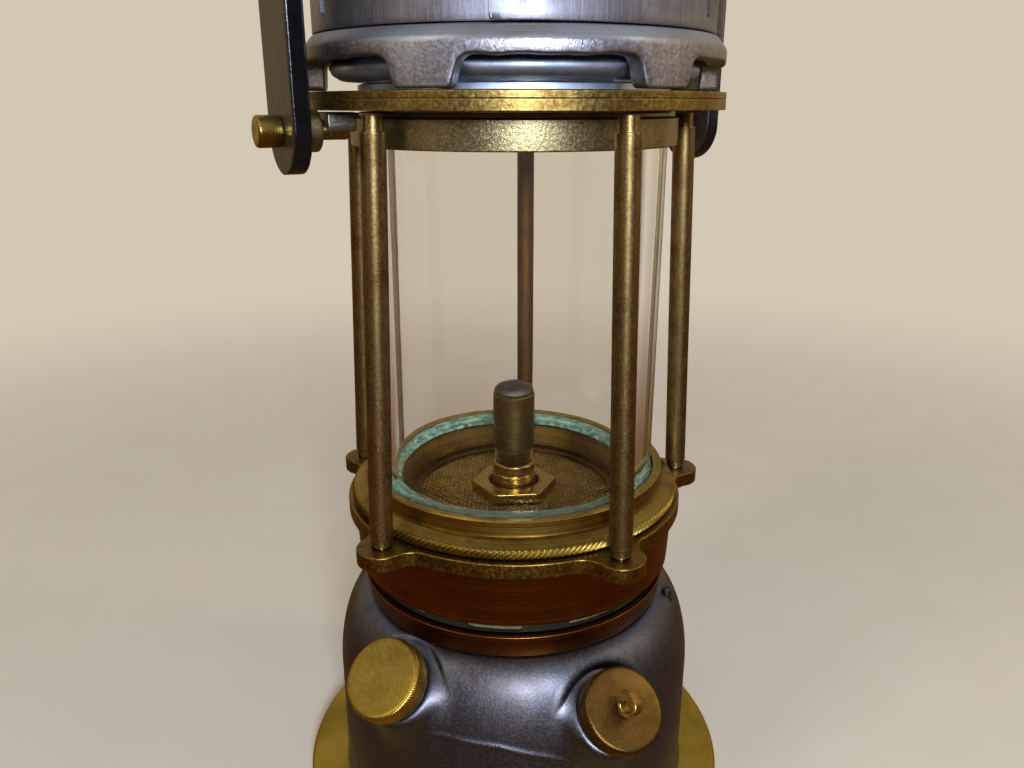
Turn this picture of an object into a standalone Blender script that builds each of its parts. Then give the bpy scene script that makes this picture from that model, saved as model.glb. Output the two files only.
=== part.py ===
"""Miners lamp: fuel vessel, burner, five-pillar glass frame, castellated bonnet and a flat steel bail.

Metres, +Z up. The origin is the centre of the foot's underside, the bail pivots lie on the X axis
and azimuths are counted from -Y towards +X.
"""
import math

import bmesh
import bpy
from mathutils import Matrix, Vector

# Clearances, cuts and facets
FIT = 0.0003            # gap between neighbouring pieces
OVERRUN = 0.004         # how far a cut reaches past what it cuts
MERGE_DISTANCE = 0.000005        # welding distance
WIDE_STEPS = 36         # facets round the large rings
RING_STEPS = 30         # facets round the inner rings
SMALL_STEPS = 14        # facets round tubes and collars
THIN_STEPS = 10         # facets round screws and pins
ARC_STEPS = 4           # facets in a rounded corner
SHOULDER_STEPS = 7      # facets down the vessel's shoulder
INNER_STEPS = 2         # facets in a curve that stays inside
SHARP_ANGLE = math.radians(32)

# Foot
FOOT_MARGIN_WIDTH = 0.0089
FOOT_THICKNESS = 0.0040
FOOT_EDGE_WIDTH = 0.0008
FOOT_RIM_WIDTH = 0.0158
FOOT_RECESS_DEPTH = 0.0014

# Fuel vessel
VESSEL_SHOULDER_WIDTH = 0.0078
VESSEL_FLARE_WIDTH = 0.0004
VESSEL_FLARE_HEIGHT = 0.0035
VESSEL_STRAIGHT_HEIGHT = 0.0267
VESSEL_SHOULDER_HEIGHT = 0.0183
VESSEL_LIP_WIDTH = 0.0014
VESSEL_WALL_THICKNESS = 0.0030
VESSEL_BORE_RADIUS = 0.0312
VESSEL_BORE_DEPTH = 0.0063
LEDGE_WIDTH = 0.0032
LEDGE_THICKNESS = 0.0022
LOCK_PIN_RADIUS = 0.0010
LOCK_PIN_LENGTH = 0.0038
LOCK_PIN_DEPTH = 0.0018
LOCK_PIN_INSET_WIDTH = 0.0028
LOCK_PIN_AZIMUTH = 46.0

# Filler caps, each screwed on a boss that points outward and upward
CAP_RADIUS = 0.0081
CAP_HEIGHT = 0.0044
CAP_EDGE_WIDTH = 0.0004
CAP_KNURL_DEPTH = 0.00035
CAP_TEETH = 28
CAP_PLUG_RADIUS = 0.0052
CAP_PLUG_LENGTH = 0.0058
CAP_TILT = 48.5
WASHER_THICKNESS = 0.0008
WASHER_RADIUS = 0.0073
BOSS_RADIUS = 0.0096
BOSS_LENGTH = 0.0115
SPOT_GAP = 0.0006
LEFT_CAP_AZIMUTH = -66.5
LEFT_CAP_OUT_WIDTH = 0.0041
LEFT_CAP_UP_HEIGHT = 0.0164
RIGHT_CAP_AZIMUTH = -3.8
RIGHT_CAP_OUT_WIDTH = 0.0056
RIGHT_CAP_UP_HEIGHT = 0.0129
EYE_RADIUS = 0.0020
EYE_THICKNESS = 0.0006
EYE_WIDTH = 0.0026
EYE_START = -35.0
EYE_END = 215.0

# Burner on its tower inside the vessel
TOWER_RADIUS = 0.0053
TOWER_BORE_RADIUS = 0.0035
TOWER_FLANGE_RADIUS = 0.0090
TOWER_FLANGE_THICKNESS = 0.0020
GAUZE_THICKNESS = 0.0006
GAUZE_HOLE_RADIUS = 0.0051
GAUZE_RIM_GAP = 0.0014
GAUZE_RIM_WIDTH = 0.0022
GAUZE_RIM_HEIGHT = 0.0024
GAUZE_LIP_WIDTH = 0.0006
GAUZE_LIP_THICKNESS = 0.0009
NUT_CORNER_RADIUS = 0.0097
NUT_THICKNESS = 0.0024
NUT_HOLE_RADIUS = 0.0056
NUT_AZIMUTH = 4.0
BURNER_COLLAR_RADIUS = 0.00475
BURNER_COLLAR_HEIGHT = 0.0080
BURNER_THREAD_RADIUS = 0.0042
BURNER_THREAD_HEIGHT = 0.0026
BURNER_TUBE_RADIUS = 0.0045
BURNER_TUBE_HEIGHT = 0.0127
BURNER_BORE_RADIUS = 0.0033
TIP_HEIGHT = 0.0021
TIP_RADIUS = 0.0043
TIP_STEM_LENGTH = 0.0040

# Lower frame: thread collar, air ring, barrel, pillar plate and glass seat
SEAL_THICKNESS = 0.0007
THREAD_COLLAR_STEP_WIDTH = 0.0014
THREAD_COLLAR_TAPER_WIDTH = 0.0010
THREAD_COLLAR_HEIGHT = 0.0050
THREAD_COLLAR_WALL_THICKNESS = 0.0034
AIR_RING_INSET_WIDTH = 0.0022
AIR_RING_WALL_THICKNESS = 0.0022
AIR_RING_HEIGHT = 0.0024
AIR_PORT_COUNT = 10
AIR_PORT_ANGLE = 20.0
AIR_PORT_HEIGHT = 0.0014
AIR_PORT_AZIMUTH = -37.7
BARREL_STEP_WIDTH = 0.0006
BARREL_FLARE_WIDTH = 0.0006
BARREL_WALL_THICKNESS = 0.0056
BARREL_HEIGHT = 0.0111
PLATE_STEP_WIDTH = 0.0014
PLATE_THICKNESS = 0.0032
PLATE_WIDTH = 0.0110
EAR_RADIUS = 0.0049
EAR_FILLET_RADIUS = 0.0045
KNURL_INSET_WIDTH = 0.0009
KNURL_HEIGHT = 0.0017
KNURL_ROUND_RADIUS = 0.0006
SEAT_STEP_WIDTH = 0.0024
SEAT_STEP_HEIGHT = 0.0014
SEAT_RIM_INSET_WIDTH = 0.0009
SEAT_RIM_HEIGHT = 0.0033
SEAT_RIM_THICKNESS = 0.0017
SEAT_FLOOR_HEIGHT = 0.0044
SEAT_SLOPE_WIDTH = 0.0014
SEAT_BORE_INSET_WIDTH = 0.0024

# Glass, its gaskets and the upper collar
GLASS_SEAT_GAP = 0.0007
GLASS_THICKNESS = 0.0038
GLASS_LENGTH = 0.0700
GASKET_THICKNESS = 0.0009
TOP_GASKET_THICKNESS = 0.0010
COLLAR_WALL_THICKNESS = 0.0015
COLLAR_SKIRT_HEIGHT = 0.0045
COLLAR_PLATE_THICKNESS = 0.0007
COLLAR_NECK_HEIGHT = 0.00095

# Pillars, leaning out a little towards the lower plate
PILLAR_COUNT = 5
PILLAR_RADIUS = 0.00225
PILLAR_NECK_RADIUS = 0.00195
PILLAR_NECK_LENGTH = 0.0026
PILLAR_FOOT_LENGTH = 0.0015
PILLAR_TOP_OUT_WIDTH = 0.0041
PILLAR_BOTTOM_OUT_WIDTH = 0.0023
SCREW_RADIUS = 0.0013
SCREW_HEAD_RADIUS = 0.0026
SCREW_HEAD_HEIGHT = 0.0014
SCREW_HOLE_RADIUS = 0.0017

# Upper rings
RING_MARGIN_WIDTH = 0.0044
RING_INNER_MARGIN_WIDTH = 0.0024
RING_LOWER_THICKNESS = 0.00175
RING_UPPER_THICKNESS = 0.00105
RING_EDGE_WIDTH = 0.00025

# Bail and its pivots
PIVOT_DROP_HEIGHT = 0.00335
BRACKET_PROUD_WIDTH = 0.0006
BRACKET_LENGTH = 0.0057
BRACKET_WIDTH = 0.0052
BRACKET_DROP_HEIGHT = 0.0034
PIN_RADIUS = 0.0016
PIN_HOLE_RADIUS = 0.0019
PIN_HEAD_RADIUS = 0.0027
PIN_HEAD_LENGTH = 0.0041
PIN_EDGE_WIDTH = 0.0003
PIN_PROUD_LENGTH = 0.0006
PIVOT_COLLAR_RADIUS = 0.0041
PIVOT_COLLAR_LENGTH = 0.0020
BAIL_WIDTH = 0.0145
BAIL_THICKNESS = 0.0033
BAIL_SIDE_GAP = 0.0006
BAIL_GRIP_HEIGHT = 0.0319
BAIL_BEND_RADIUS = 0.0180
BAIL_BEND_STEPS = 8

# Bonnet
BASE_INSET_WIDTH = 0.0005
BASE_BEVEL_WIDTH = 0.0014
BASE_WALL_THICKNESS = 0.0038
BASE_HEIGHT = 0.00925
BASE_BEVEL_HEIGHT = 0.0021
BASE_FEET = 6
BASE_FOOT_AZIMUTH = 7.5
BASE_FOOT_WIDTH = 0.0097
BASE_FOOT_FLARE_WIDTH = 0.0032
WINDOW_HEIGHT = 0.00485
WINDOW_ROUND_RADIUS = 0.0016
DEFLECTOR_GAP = 0.0008
DEFLECTOR_FOOT_INSET_WIDTH = 0.0052
DEFLECTOR_FOOT_HEIGHT = 0.00115
DEFLECTOR_WAIST_INSET_WIDTH = 0.0009
DEFLECTOR_WAIST_HEIGHT = 0.00055
DEFLECTOR_BULGE_HEIGHT = 0.0036
DEFLECTOR_TOP_INSET_WIDTH = 0.0027
DEFLECTOR_TOP_HEIGHT = 0.0030
DEFLECTOR_WALL_THICKNESS = 0.0023
SCALLOP_RADIUS = 0.0044
SCALLOP_HEIGHT = 0.0014
SHELL_INSET_WIDTH = 0.0007
SHELL_WALL_THICKNESS = 0.0008
SHELL_HEIGHT = 0.0600
SHELL_LAP_ANGLE = 8.0
SHELL_JOGGLE_ANGLE = 3.0
SHELL_LAP_GAP = 0.0001
SHELL_SEAM_AZIMUTH = -37.0
SLOT_COUNT = 3
SLOT_AZIMUTH = 30.0
SLOT_WIDTH = 0.0022
SLOT_HEIGHT = 0.0046
SLOT_BASE_HEIGHT = 0.0020
DIMPLE_AZIMUTH = -30.0
DIMPLE_RADIUS = 0.0052
DIMPLE_DEPTH = 0.0004
DIMPLE_BASE_HEIGHT = 0.0034
OUTLET_COUNT = 8
OUTLET_RADIUS = 0.0032
OUTLET_DROP_HEIGHT = 0.0095
CHIMNEY_GAP = 0.0004
CHIMNEY_FLANGE_WIDTH = 0.0074
CHIMNEY_TAPER_WIDTH = 0.0025
CHIMNEY_WALL_THICKNESS = 0.0007
CHIMNEY_HEIGHT = 0.0560
TOP_SKIRT_HEIGHT = 0.0042
TOP_WALL_THICKNESS = 0.0010
TOP_DOME_HEIGHT = 0.0085
TOP_CROWN_SHARE = 0.30

# Heights, stacked from the foot upward
VESSEL_Z = FOOT_THICKNESS + FIT
SHOULDER_Z = VESSEL_Z + VESSEL_STRAIGHT_HEIGHT
VESSEL_TOP_Z = SHOULDER_Z + VESSEL_SHOULDER_HEIGHT
BORE_Z = VESSEL_TOP_Z - VESSEL_BORE_DEPTH
LEDGE_Z = BORE_Z - LEDGE_THICKNESS
TOWER_Z = FOOT_THICKNESS + FIT
SEAL_Z = BORE_Z + FIT
SPIGOT_Z = SEAL_Z + SEAL_THICKNESS + FIT
THREAD_COLLAR_Z = VESSEL_TOP_Z + FIT
THREAD_COLLAR_TOP_Z = THREAD_COLLAR_Z + THREAD_COLLAR_HEIGHT
AIR_RING_Z = THREAD_COLLAR_TOP_Z + FIT
AIR_RING_TOP_Z = AIR_RING_Z + AIR_RING_HEIGHT
BARREL_Z = AIR_RING_TOP_Z + FIT
BARREL_TOP_Z = BARREL_Z + BARREL_HEIGHT
PLATE_Z = BARREL_TOP_Z + FIT
PLATE_TOP_Z = PLATE_Z + PLATE_THICKNESS
SEAT_Z = PLATE_TOP_Z + FIT
KNURL_TOP_Z = SEAT_Z + KNURL_HEIGHT
SEAT_STEP_Z = KNURL_TOP_Z + SEAT_STEP_HEIGHT
SEAT_TOP_Z = SEAT_STEP_Z + SEAT_RIM_HEIGHT
SEAT_FLOOR_Z = SEAT_Z + SEAT_FLOOR_HEIGHT
GASKET_Z = SEAT_FLOOR_Z + FIT
GLASS_Z = GASKET_Z + GASKET_THICKNESS + FIT
GLASS_TOP_Z = GLASS_Z + GLASS_LENGTH
TOP_GASKET_Z = GLASS_TOP_Z + FIT
COLLAR_CEILING_Z = TOP_GASKET_Z + TOP_GASKET_THICKNESS + FIT
COLLAR_TOP_Z = COLLAR_CEILING_Z + COLLAR_PLATE_THICKNESS
COLLAR_SKIRT_Z = COLLAR_CEILING_Z - COLLAR_SKIRT_HEIGHT
RING_Z = COLLAR_TOP_Z + COLLAR_NECK_HEIGHT + FIT
RING_UPPER_Z = RING_Z + RING_LOWER_THICKNESS + FIT
RING_TOP_Z = RING_UPPER_Z + RING_UPPER_THICKNESS
BASE_Z = RING_TOP_Z + FIT
BASE_TOP_Z = BASE_Z + BASE_HEIGHT
SHELL_Z = BASE_TOP_Z + FIT
SHELL_TOP_Z = SHELL_Z + SHELL_HEIGHT
TOP_SEAT_Z = SHELL_TOP_Z + FIT
GAUZE_RIM_Z = SEAT_Z - FIT - GAUZE_RIM_HEIGHT
GAUZE_LIP_Z = SEAT_Z - FIT - GAUZE_LIP_THICKNESS
GAUZE_Z = GAUZE_LIP_Z - FIT - GAUZE_THICKNESS
TOWER_TOP_Z = GAUZE_Z - FIT
NUT_Z = GAUZE_Z + GAUZE_THICKNESS + FIT
BURNER_COLLAR_Z = TOWER_TOP_Z + FIT
BURNER_TUBE_Z = BURNER_COLLAR_Z + BURNER_COLLAR_HEIGHT + FIT
BURNER_TOP_Z = BURNER_TUBE_Z + BURNER_THREAD_HEIGHT + BURNER_TUBE_HEIGHT
PIVOT_Z = RING_Z - PIVOT_DROP_HEIGHT

# Radii that follow from neighbouring pieces, from the vessel's mouth outward and upward
VESSEL_LIP_RADIUS = VESSEL_BORE_RADIUS + VESSEL_LIP_WIDTH
VESSEL_RADIUS = VESSEL_LIP_RADIUS + VESSEL_SHOULDER_WIDTH
LEDGE_RADIUS = VESSEL_BORE_RADIUS - LEDGE_WIDTH
LOCK_PIN_CIRCLE_RADIUS = VESSEL_LIP_RADIUS + LOCK_PIN_INSET_WIDTH
FOOT_RADIUS = VESSEL_RADIUS + FOOT_MARGIN_WIDTH
FOOT_RECESS_RADIUS = FOOT_RADIUS - FOOT_RIM_WIDTH
SPIGOT_RADIUS = VESSEL_BORE_RADIUS - FIT
THREAD_COLLAR_RADIUS = VESSEL_LIP_RADIUS + THREAD_COLLAR_STEP_WIDTH
THREAD_COLLAR_INNER_RADIUS = SPIGOT_RADIUS - THREAD_COLLAR_WALL_THICKNESS
AIR_RING_RADIUS = THREAD_COLLAR_RADIUS - AIR_RING_INSET_WIDTH
AIR_RING_INNER_RADIUS = AIR_RING_RADIUS - AIR_RING_WALL_THICKNESS
BARREL_RADIUS = THREAD_COLLAR_RADIUS + BARREL_STEP_WIDTH
BARREL_INNER_RADIUS = BARREL_RADIUS - BARREL_WALL_THICKNESS
PLATE_RADIUS = BARREL_RADIUS + BARREL_FLARE_WIDTH + PLATE_STEP_WIDTH
PLATE_HOLE_RADIUS = PLATE_RADIUS - PLATE_WIDTH
PILLAR_BOTTOM_CIRCLE_RADIUS = PLATE_RADIUS + PILLAR_BOTTOM_OUT_WIDTH
KNURL_RADIUS = PLATE_RADIUS - KNURL_INSET_WIDTH
SEAT_STEP_RADIUS = KNURL_RADIUS - SEAT_STEP_WIDTH
SEAT_RIM_RADIUS = SEAT_STEP_RADIUS - SEAT_RIM_INSET_WIDTH
SEAT_RIM_INNER_RADIUS = SEAT_RIM_RADIUS - SEAT_RIM_THICKNESS
SEAT_BORE_RADIUS = PLATE_HOLE_RADIUS - SEAT_BORE_INSET_WIDTH
SEAT_FLOOR_RADIUS = SEAT_BORE_RADIUS + SEAT_SLOPE_WIDTH
GAUZE_RIM_RADIUS = PLATE_HOLE_RADIUS - GAUZE_RIM_GAP
GAUZE_RADIUS = GAUZE_RIM_RADIUS - GAUZE_RIM_WIDTH
GAUZE_LIP_RADIUS = GAUZE_RADIUS - GAUZE_LIP_WIDTH
GLASS_RADIUS = SEAT_RIM_INNER_RADIUS - GLASS_SEAT_GAP
GLASS_INNER_RADIUS = GLASS_RADIUS - GLASS_THICKNESS
GASKET_INNER_RADIUS = SEAT_FLOOR_RADIUS + FIT
COLLAR_RADIUS = GLASS_RADIUS + FIT + COLLAR_WALL_THICKNESS
PILLAR_TOP_CIRCLE_RADIUS = COLLAR_RADIUS + PILLAR_TOP_OUT_WIDTH
RING_RADIUS = PILLAR_TOP_CIRCLE_RADIUS + RING_MARGIN_WIDTH
BASE_RADIUS = RING_RADIUS - BASE_INSET_WIDTH
BASE_TOP_RADIUS = BASE_RADIUS - BASE_BEVEL_WIDTH
BASE_INNER_RADIUS = BASE_RADIUS - BASE_WALL_THICKNESS
SHELL_RADIUS = BASE_TOP_RADIUS - SHELL_INSET_WIDTH
DEFLECTOR_BULGE_RADIUS = BASE_INNER_RADIUS - DEFLECTOR_GAP
DEFLECTOR_TOP_RADIUS = DEFLECTOR_BULGE_RADIUS - DEFLECTOR_TOP_INSET_WIDTH
DEFLECTOR_FOOT_RADIUS = DEFLECTOR_BULGE_RADIUS - DEFLECTOR_FOOT_INSET_WIDTH
DEFLECTOR_WAIST_RADIUS = DEFLECTOR_FOOT_RADIUS - DEFLECTOR_WAIST_INSET_WIDTH
DEFLECTOR_INNER_RADIUS = DEFLECTOR_WAIST_RADIUS - DEFLECTOR_WALL_THICKNESS
CHIMNEY_FLANGE_RADIUS = DEFLECTOR_INNER_RADIUS - CHIMNEY_GAP
CHIMNEY_RADIUS = CHIMNEY_FLANGE_RADIUS - CHIMNEY_FLANGE_WIDTH
RING_HOLE_RADIUS = CHIMNEY_FLANGE_RADIUS - RING_INNER_MARGIN_WIDTH
BRACKET_OUTER_WIDTH = RING_RADIUS + BRACKET_PROUD_WIDTH
BRACKET_INNER_WIDTH = BRACKET_OUTER_WIDTH - BRACKET_LENGTH
PIN_INNER_WIDTH = BRACKET_INNER_WIDTH - PIN_PROUD_LENGTH
BAIL_HALF_GAP = BRACKET_OUTER_WIDTH + FIT + PIVOT_COLLAR_LENGTH + FIT + BAIL_SIDE_GAP
BAIL_HEIGHT = TOP_SEAT_Z + TOP_WALL_THICKNESS + TOP_DOME_HEIGHT + BAIL_GRIP_HEIGHT - PIVOT_Z
LEFT_CAP_CIRCLE_RADIUS = VESSEL_RADIUS + LEFT_CAP_OUT_WIDTH
LEFT_CAP_HEIGHT = SHOULDER_Z + LEFT_CAP_UP_HEIGHT
RIGHT_CAP_CIRCLE_RADIUS = VESSEL_RADIUS + RIGHT_CAP_OUT_WIDTH
RIGHT_CAP_HEIGHT = SHOULDER_Z + RIGHT_CAP_UP_HEIGHT
CAP_SEAT_DEPTH = CAP_HEIGHT + FIT + WASHER_THICKNESS + FIT
FILLER_BORE_RADIUS = CAP_PLUG_RADIUS + FIT
TOP_SKIRT_INNER_RADIUS = SHELL_RADIUS + FIT
COLLAR_SKIRT_INNER_RADIUS = GLASS_RADIUS + FIT
BASE_FOOT_ANGLES = [BASE_FOOT_AZIMUTH + 360.0 * index / BASE_FEET for index in range(BASE_FEET)]
PILLAR_ANGLES = [360.0 * index / PILLAR_COUNT for index in range(PILLAR_COUNT)]

for old in list(bpy.data.objects):
    bpy.data.objects.remove(old, do_unlink=True)

lamp = bpy.data.collections.new("miners_lamp")
cutters = bpy.data.collections.new("cutters")
bpy.context.scene.collection.children.link(lamp)
bpy.context.scene.collection.children.link(cutters)


def linear(channel):
    return channel / 12.92 if channel <= 0.04045 else ((channel + 0.055) / 1.055) ** 2.4


def material(name, hex_colour, metallic, roughness):
    """One Principled material with a colour given as sRGB hex."""
    made = bpy.data.materials.new(name)
    made.use_nodes = True
    shader = made.node_tree.nodes["Principled BSDF"]
    channels = [int(hex_colour[start:start + 2], 16) / 255 for start in (1, 3, 5)]
    shader.inputs["Base Color"].default_value = [linear(channel) for channel in channels] + [1.0]
    shader.inputs["Metallic"].default_value = metallic
    shader.inputs["Roughness"].default_value = roughness
    made.diffuse_color = [linear(channel) for channel in channels] + [1.0]
    return made


BRASS = ("#A87F2C", 1.0, 0.32)
FOOT_BRASS = ("#B9A03A", 1.0, 0.38)
CAST_ALUMINIUM = ("#85808A", 1.0, 0.38)
SHEET_ALUMINIUM = ("#8F8C94", 1.0, 0.34)
BLACK_PAINT = ("#0C0C0E", 0.0, 0.22)
CLEAR_GLASS = ("#E8EEF0", 0.0, 0.03)
TEAL_RUBBER = ("#4E9A8C", 0.0, 0.7)
DARK_FIBRE = ("#2B2622", 0.0, 0.85)
BRONZE_GAUZE = ("#8A6B2E", 0.9, 0.5)
DARK_STEEL = ("#6D6A70", 1.0, 0.45)


def place_object(name, mesh, looks, place=Matrix.Identity(4), collection=lamp):
    """Link a mesh as a named object with a material of its own."""
    item = bpy.data.objects.new(name, mesh)
    collection.objects.link(item)
    item.matrix_world = place
    if looks is None:
        item.hide_render = True
        item.display_type = "WIRE"
    else:
        mesh.materials.clear()
        mesh.materials.append(material(name, *looks))
    return item


def evaluated_mesh(item):
    bpy.context.view_layer.update()
    return bpy.data.meshes.new_from_object(item.evaluated_get(bpy.context.evaluated_depsgraph_get()))


def turned(name, outline, looks, steps, place=Matrix.Identity(4), closed=True):
    """Turn a profile of (radius, height) points round local Z; its outer side runs downward."""
    mesh = bpy.data.meshes.new(name)
    edges = [(index, index + 1) for index in range(len(outline) - 1)]
    if closed:
        edges.append((len(outline) - 1, 0))
    mesh.from_pydata([(radius, 0.0, height) for radius, height in outline], edges, [])
    item = place_object(name, mesh, looks, place, lamp if looks else cutters)
    screw = item.modifiers.new("Turn", "SCREW")
    screw.axis = "Z"
    screw.angle = math.tau
    screw.steps = steps
    screw.render_steps = steps
    screw.use_merge_vertices = True
    screw.merge_threshold = MERGE_DISTANCE
    solid = evaluated_mesh(item)
    item.modifiers.clear()
    item.data = solid
    return item


def flat(name, outlines, thickness, looks, place=Matrix.Identity(4)):
    """Extrude a flat outline, with any holes, from local Z zero upward by its thickness."""
    curve = bpy.data.curves.new(name, "CURVE")
    curve.dimensions = "2D"
    curve.fill_mode = "BOTH"
    curve.extrude = thickness / 2
    for outline in outlines:
        spline = curve.splines.new("POLY")
        spline.points.add(len(outline) - 1)
        for point, (along, across) in zip(spline.points, outline):
            point.co = (along, across, 0.0, 1.0)
        spline.use_cyclic_u = True
    drawn = bpy.data.objects.new(name + "_outline", curve)
    cutters.objects.link(drawn)
    drawn.matrix_world = place @ Matrix.Translation((0.0, 0.0, thickness / 2))
    mesh = evaluated_mesh(drawn)
    work = bmesh.new()
    work.from_mesh(mesh)
    bmesh.ops.remove_doubles(work, verts=work.verts, dist=MERGE_DISTANCE)
    bmesh.ops.recalc_face_normals(work, faces=work.faces)
    work.to_mesh(mesh)
    work.free()
    item = place_object(name, mesh, looks, drawn.matrix_world.copy(), lamp if looks else cutters)
    bpy.data.objects.remove(drawn, do_unlink=True)
    return item


def rod(name, radius, length, looks, steps, place=Matrix.Identity(4)):
    """A cylinder from local Z zero upward."""
    mesh = bpy.data.meshes.new(name)
    work = bmesh.new()
    bmesh.ops.create_cone(work, cap_ends=True, segments=steps, radius1=radius, radius2=radius, depth=length,
                          matrix=Matrix.Translation((0.0, 0.0, length / 2)))
    work.to_mesh(mesh)
    work.free()
    return place_object(name, mesh, looks, place, lamp if looks else cutters)


def block(name, size, looks, place=Matrix.Identity(4)):
    """A box centred on its own origin."""
    mesh = bpy.data.meshes.new(name)
    work = bmesh.new()
    bmesh.ops.create_cube(work, size=1.0, matrix=Matrix.Diagonal((*size, 1.0)))
    work.to_mesh(mesh)
    work.free()
    return place_object(name, mesh, looks, place, lamp if looks else cutters)


def combine(item, tool, operation="DIFFERENCE"):
    """Cut the item with a tool, or join the tool to it, and keep the result as its mesh."""
    step = item.modifiers.new(tool.name, "BOOLEAN")
    step.operation = operation
    step.solver = "EXACT"
    step.object = tool
    solid = evaluated_mesh(item)
    item.modifiers.clear()
    item.data = solid


def arc(centre, radii, start, end, steps):
    """Points of an elliptic arc, its angles in degrees from the first axis."""
    points = []
    for step in range(steps + 1):
        angle = math.radians(start + (end - start) * step / steps)
        points.append((centre[0] + radii[0] * math.cos(angle), centre[1] + radii[1] * math.sin(angle)))
    return points


def circle(radius, steps, centre=(0.0, 0.0)):
    return arc(centre, (radius, radius), 0.0, 360.0 * (steps - 1) / steps, steps - 1)


def polar(radius, azimuth, height):
    angle = math.radians(azimuth)
    return Vector((radius * math.sin(angle), -radius * math.cos(angle), height))


def outward(azimuth, tilt, origin):
    """A frame whose Z points out at an azimuth and up by a tilt, and whose X is tangential."""
    turn = math.radians(azimuth)
    rise = math.radians(tilt)
    along = Vector((math.cos(rise) * math.sin(turn), -math.cos(rise) * math.cos(turn), math.sin(rise)))
    side = Vector((math.cos(turn), math.sin(turn), 0.0))
    axes = Matrix((side, along.cross(side), along)).transposed().to_4x4()
    return Matrix.Translation(origin) @ axes


def ring(name, outer, inner, low, high, looks, steps, upper_edge=0.0, lower_edge=0.0):
    """A plain ring between two heights, its outer corners taken off where an edge is given."""
    outline = [(inner, low), (inner, high), (outer - upper_edge, high)]
    if upper_edge:
        outline.append((outer, high - upper_edge))
    if lower_edge:
        outline.append((outer, low + lower_edge))
    outline.append((outer - lower_edge, low))
    return turned(name, outline, looks, steps)


# Foot: a wide disc, recessed underneath so that it stands on its rim
turned("foot_disc", [
    (0.0, FOOT_THICKNESS), (FOOT_RADIUS - FOOT_EDGE_WIDTH, FOOT_THICKNESS),
    (FOOT_RADIUS, FOOT_THICKNESS - FOOT_EDGE_WIDTH), (FOOT_RADIUS, 0.0),
    (FOOT_RECESS_RADIUS, 0.0), (FOOT_RECESS_RADIUS, FOOT_RECESS_DEPTH), (0.0, FOOT_RECESS_DEPTH),
], FOOT_BRASS, WIDE_STEPS, closed=False)

# Fuel vessel: straight wall, full rounded shoulder, mouth with a ledge for the seal; the foot is its floor
vessel_inner = VESSEL_RADIUS - VESSEL_WALL_THICKNESS
vessel = turned("fuel_vessel", [
    (vessel_inner, VESSEL_Z),
    *arc((LEDGE_RADIUS, SHOULDER_Z), (vessel_inner - LEDGE_RADIUS, LEDGE_Z - SHOULDER_Z),
         0.0, 90.0, INNER_STEPS),
    (LEDGE_RADIUS, BORE_Z), (VESSEL_BORE_RADIUS, BORE_Z), (VESSEL_BORE_RADIUS, VESSEL_TOP_Z),
    *reversed(arc((VESSEL_LIP_RADIUS, SHOULDER_Z), (VESSEL_RADIUS - VESSEL_LIP_RADIUS, VESSEL_SHOULDER_HEIGHT),
                  0.0, 90.0, SHOULDER_STEPS)),
    (VESSEL_RADIUS, VESSEL_Z + VESSEL_FLARE_HEIGHT), (VESSEL_RADIUS + VESSEL_FLARE_WIDTH, VESSEL_Z),
], CAST_ALUMINIUM, WIDE_STEPS)


def cap_frame(azimuth, reach, height):
    """The frame on a boss's face, from the middle of the cap's outer face."""
    face = outward(azimuth, CAP_TILT, polar(reach, azimuth, height))
    return face @ Matrix.Translation((0.0, 0.0, -CAP_SEAT_DEPTH))


cap_frames = {
    "left": cap_frame(LEFT_CAP_AZIMUTH, LEFT_CAP_CIRCLE_RADIUS, LEFT_CAP_HEIGHT),
    "right": cap_frame(RIGHT_CAP_AZIMUTH, RIGHT_CAP_CIRCLE_RADIUS, RIGHT_CAP_HEIGHT),
}
for side, frame in cap_frames.items():
    sunk = frame @ Matrix.Translation((0.0, 0.0, -BOSS_LENGTH))
    combine(vessel, rod("boss_" + side, BOSS_RADIUS, BOSS_LENGTH, None, SMALL_STEPS, sunk), "UNION")
for side, frame in cap_frames.items():
    spot = rod("spot_face_" + side, CAP_RADIUS + SPOT_GAP, BOSS_LENGTH + OVERRUN, None, SMALL_STEPS, frame)
    combine(vessel, spot)
    sunk = frame @ Matrix.Translation((0.0, 0.0, -BOSS_LENGTH - OVERRUN))
    combine(vessel, rod("filler_bore_" + side, FILLER_BORE_RADIUS, BOSS_LENGTH + OVERRUN + OVERRUN, None,
                        SMALL_STEPS, sunk))
combine(vessel, turned("mouth_bore", [
    (0.0, VESSEL_TOP_Z + OVERRUN), (VESSEL_BORE_RADIUS, VESSEL_TOP_Z + OVERRUN), (VESSEL_BORE_RADIUS, BORE_Z),
    (LEDGE_RADIUS, BORE_Z), (LEDGE_RADIUS, SHOULDER_Z), (0.0, SHOULDER_Z),
], None, WIDE_STEPS, closed=False))

# Lock pin standing in a blind hole on the shoulder
pin_foot = polar(LOCK_PIN_CIRCLE_RADIUS, LOCK_PIN_AZIMUTH, VESSEL_TOP_Z - LOCK_PIN_DEPTH - LOCK_PIN_DEPTH)
combine(vessel, rod("lock_pin_hole", LOCK_PIN_RADIUS + FIT, LOCK_PIN_LENGTH + OVERRUN, None, THIN_STEPS,
                    Matrix.Translation(pin_foot)))
turned("lock_pin", [
    (0.0, LOCK_PIN_LENGTH + FIT), (LOCK_PIN_RADIUS - FIT, LOCK_PIN_LENGTH + FIT),
    (LOCK_PIN_RADIUS, LOCK_PIN_LENGTH), (LOCK_PIN_RADIUS, FIT), (0.0, FIT),
], DARK_STEEL, THIN_STEPS, Matrix.Translation(pin_foot), closed=False)


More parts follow.
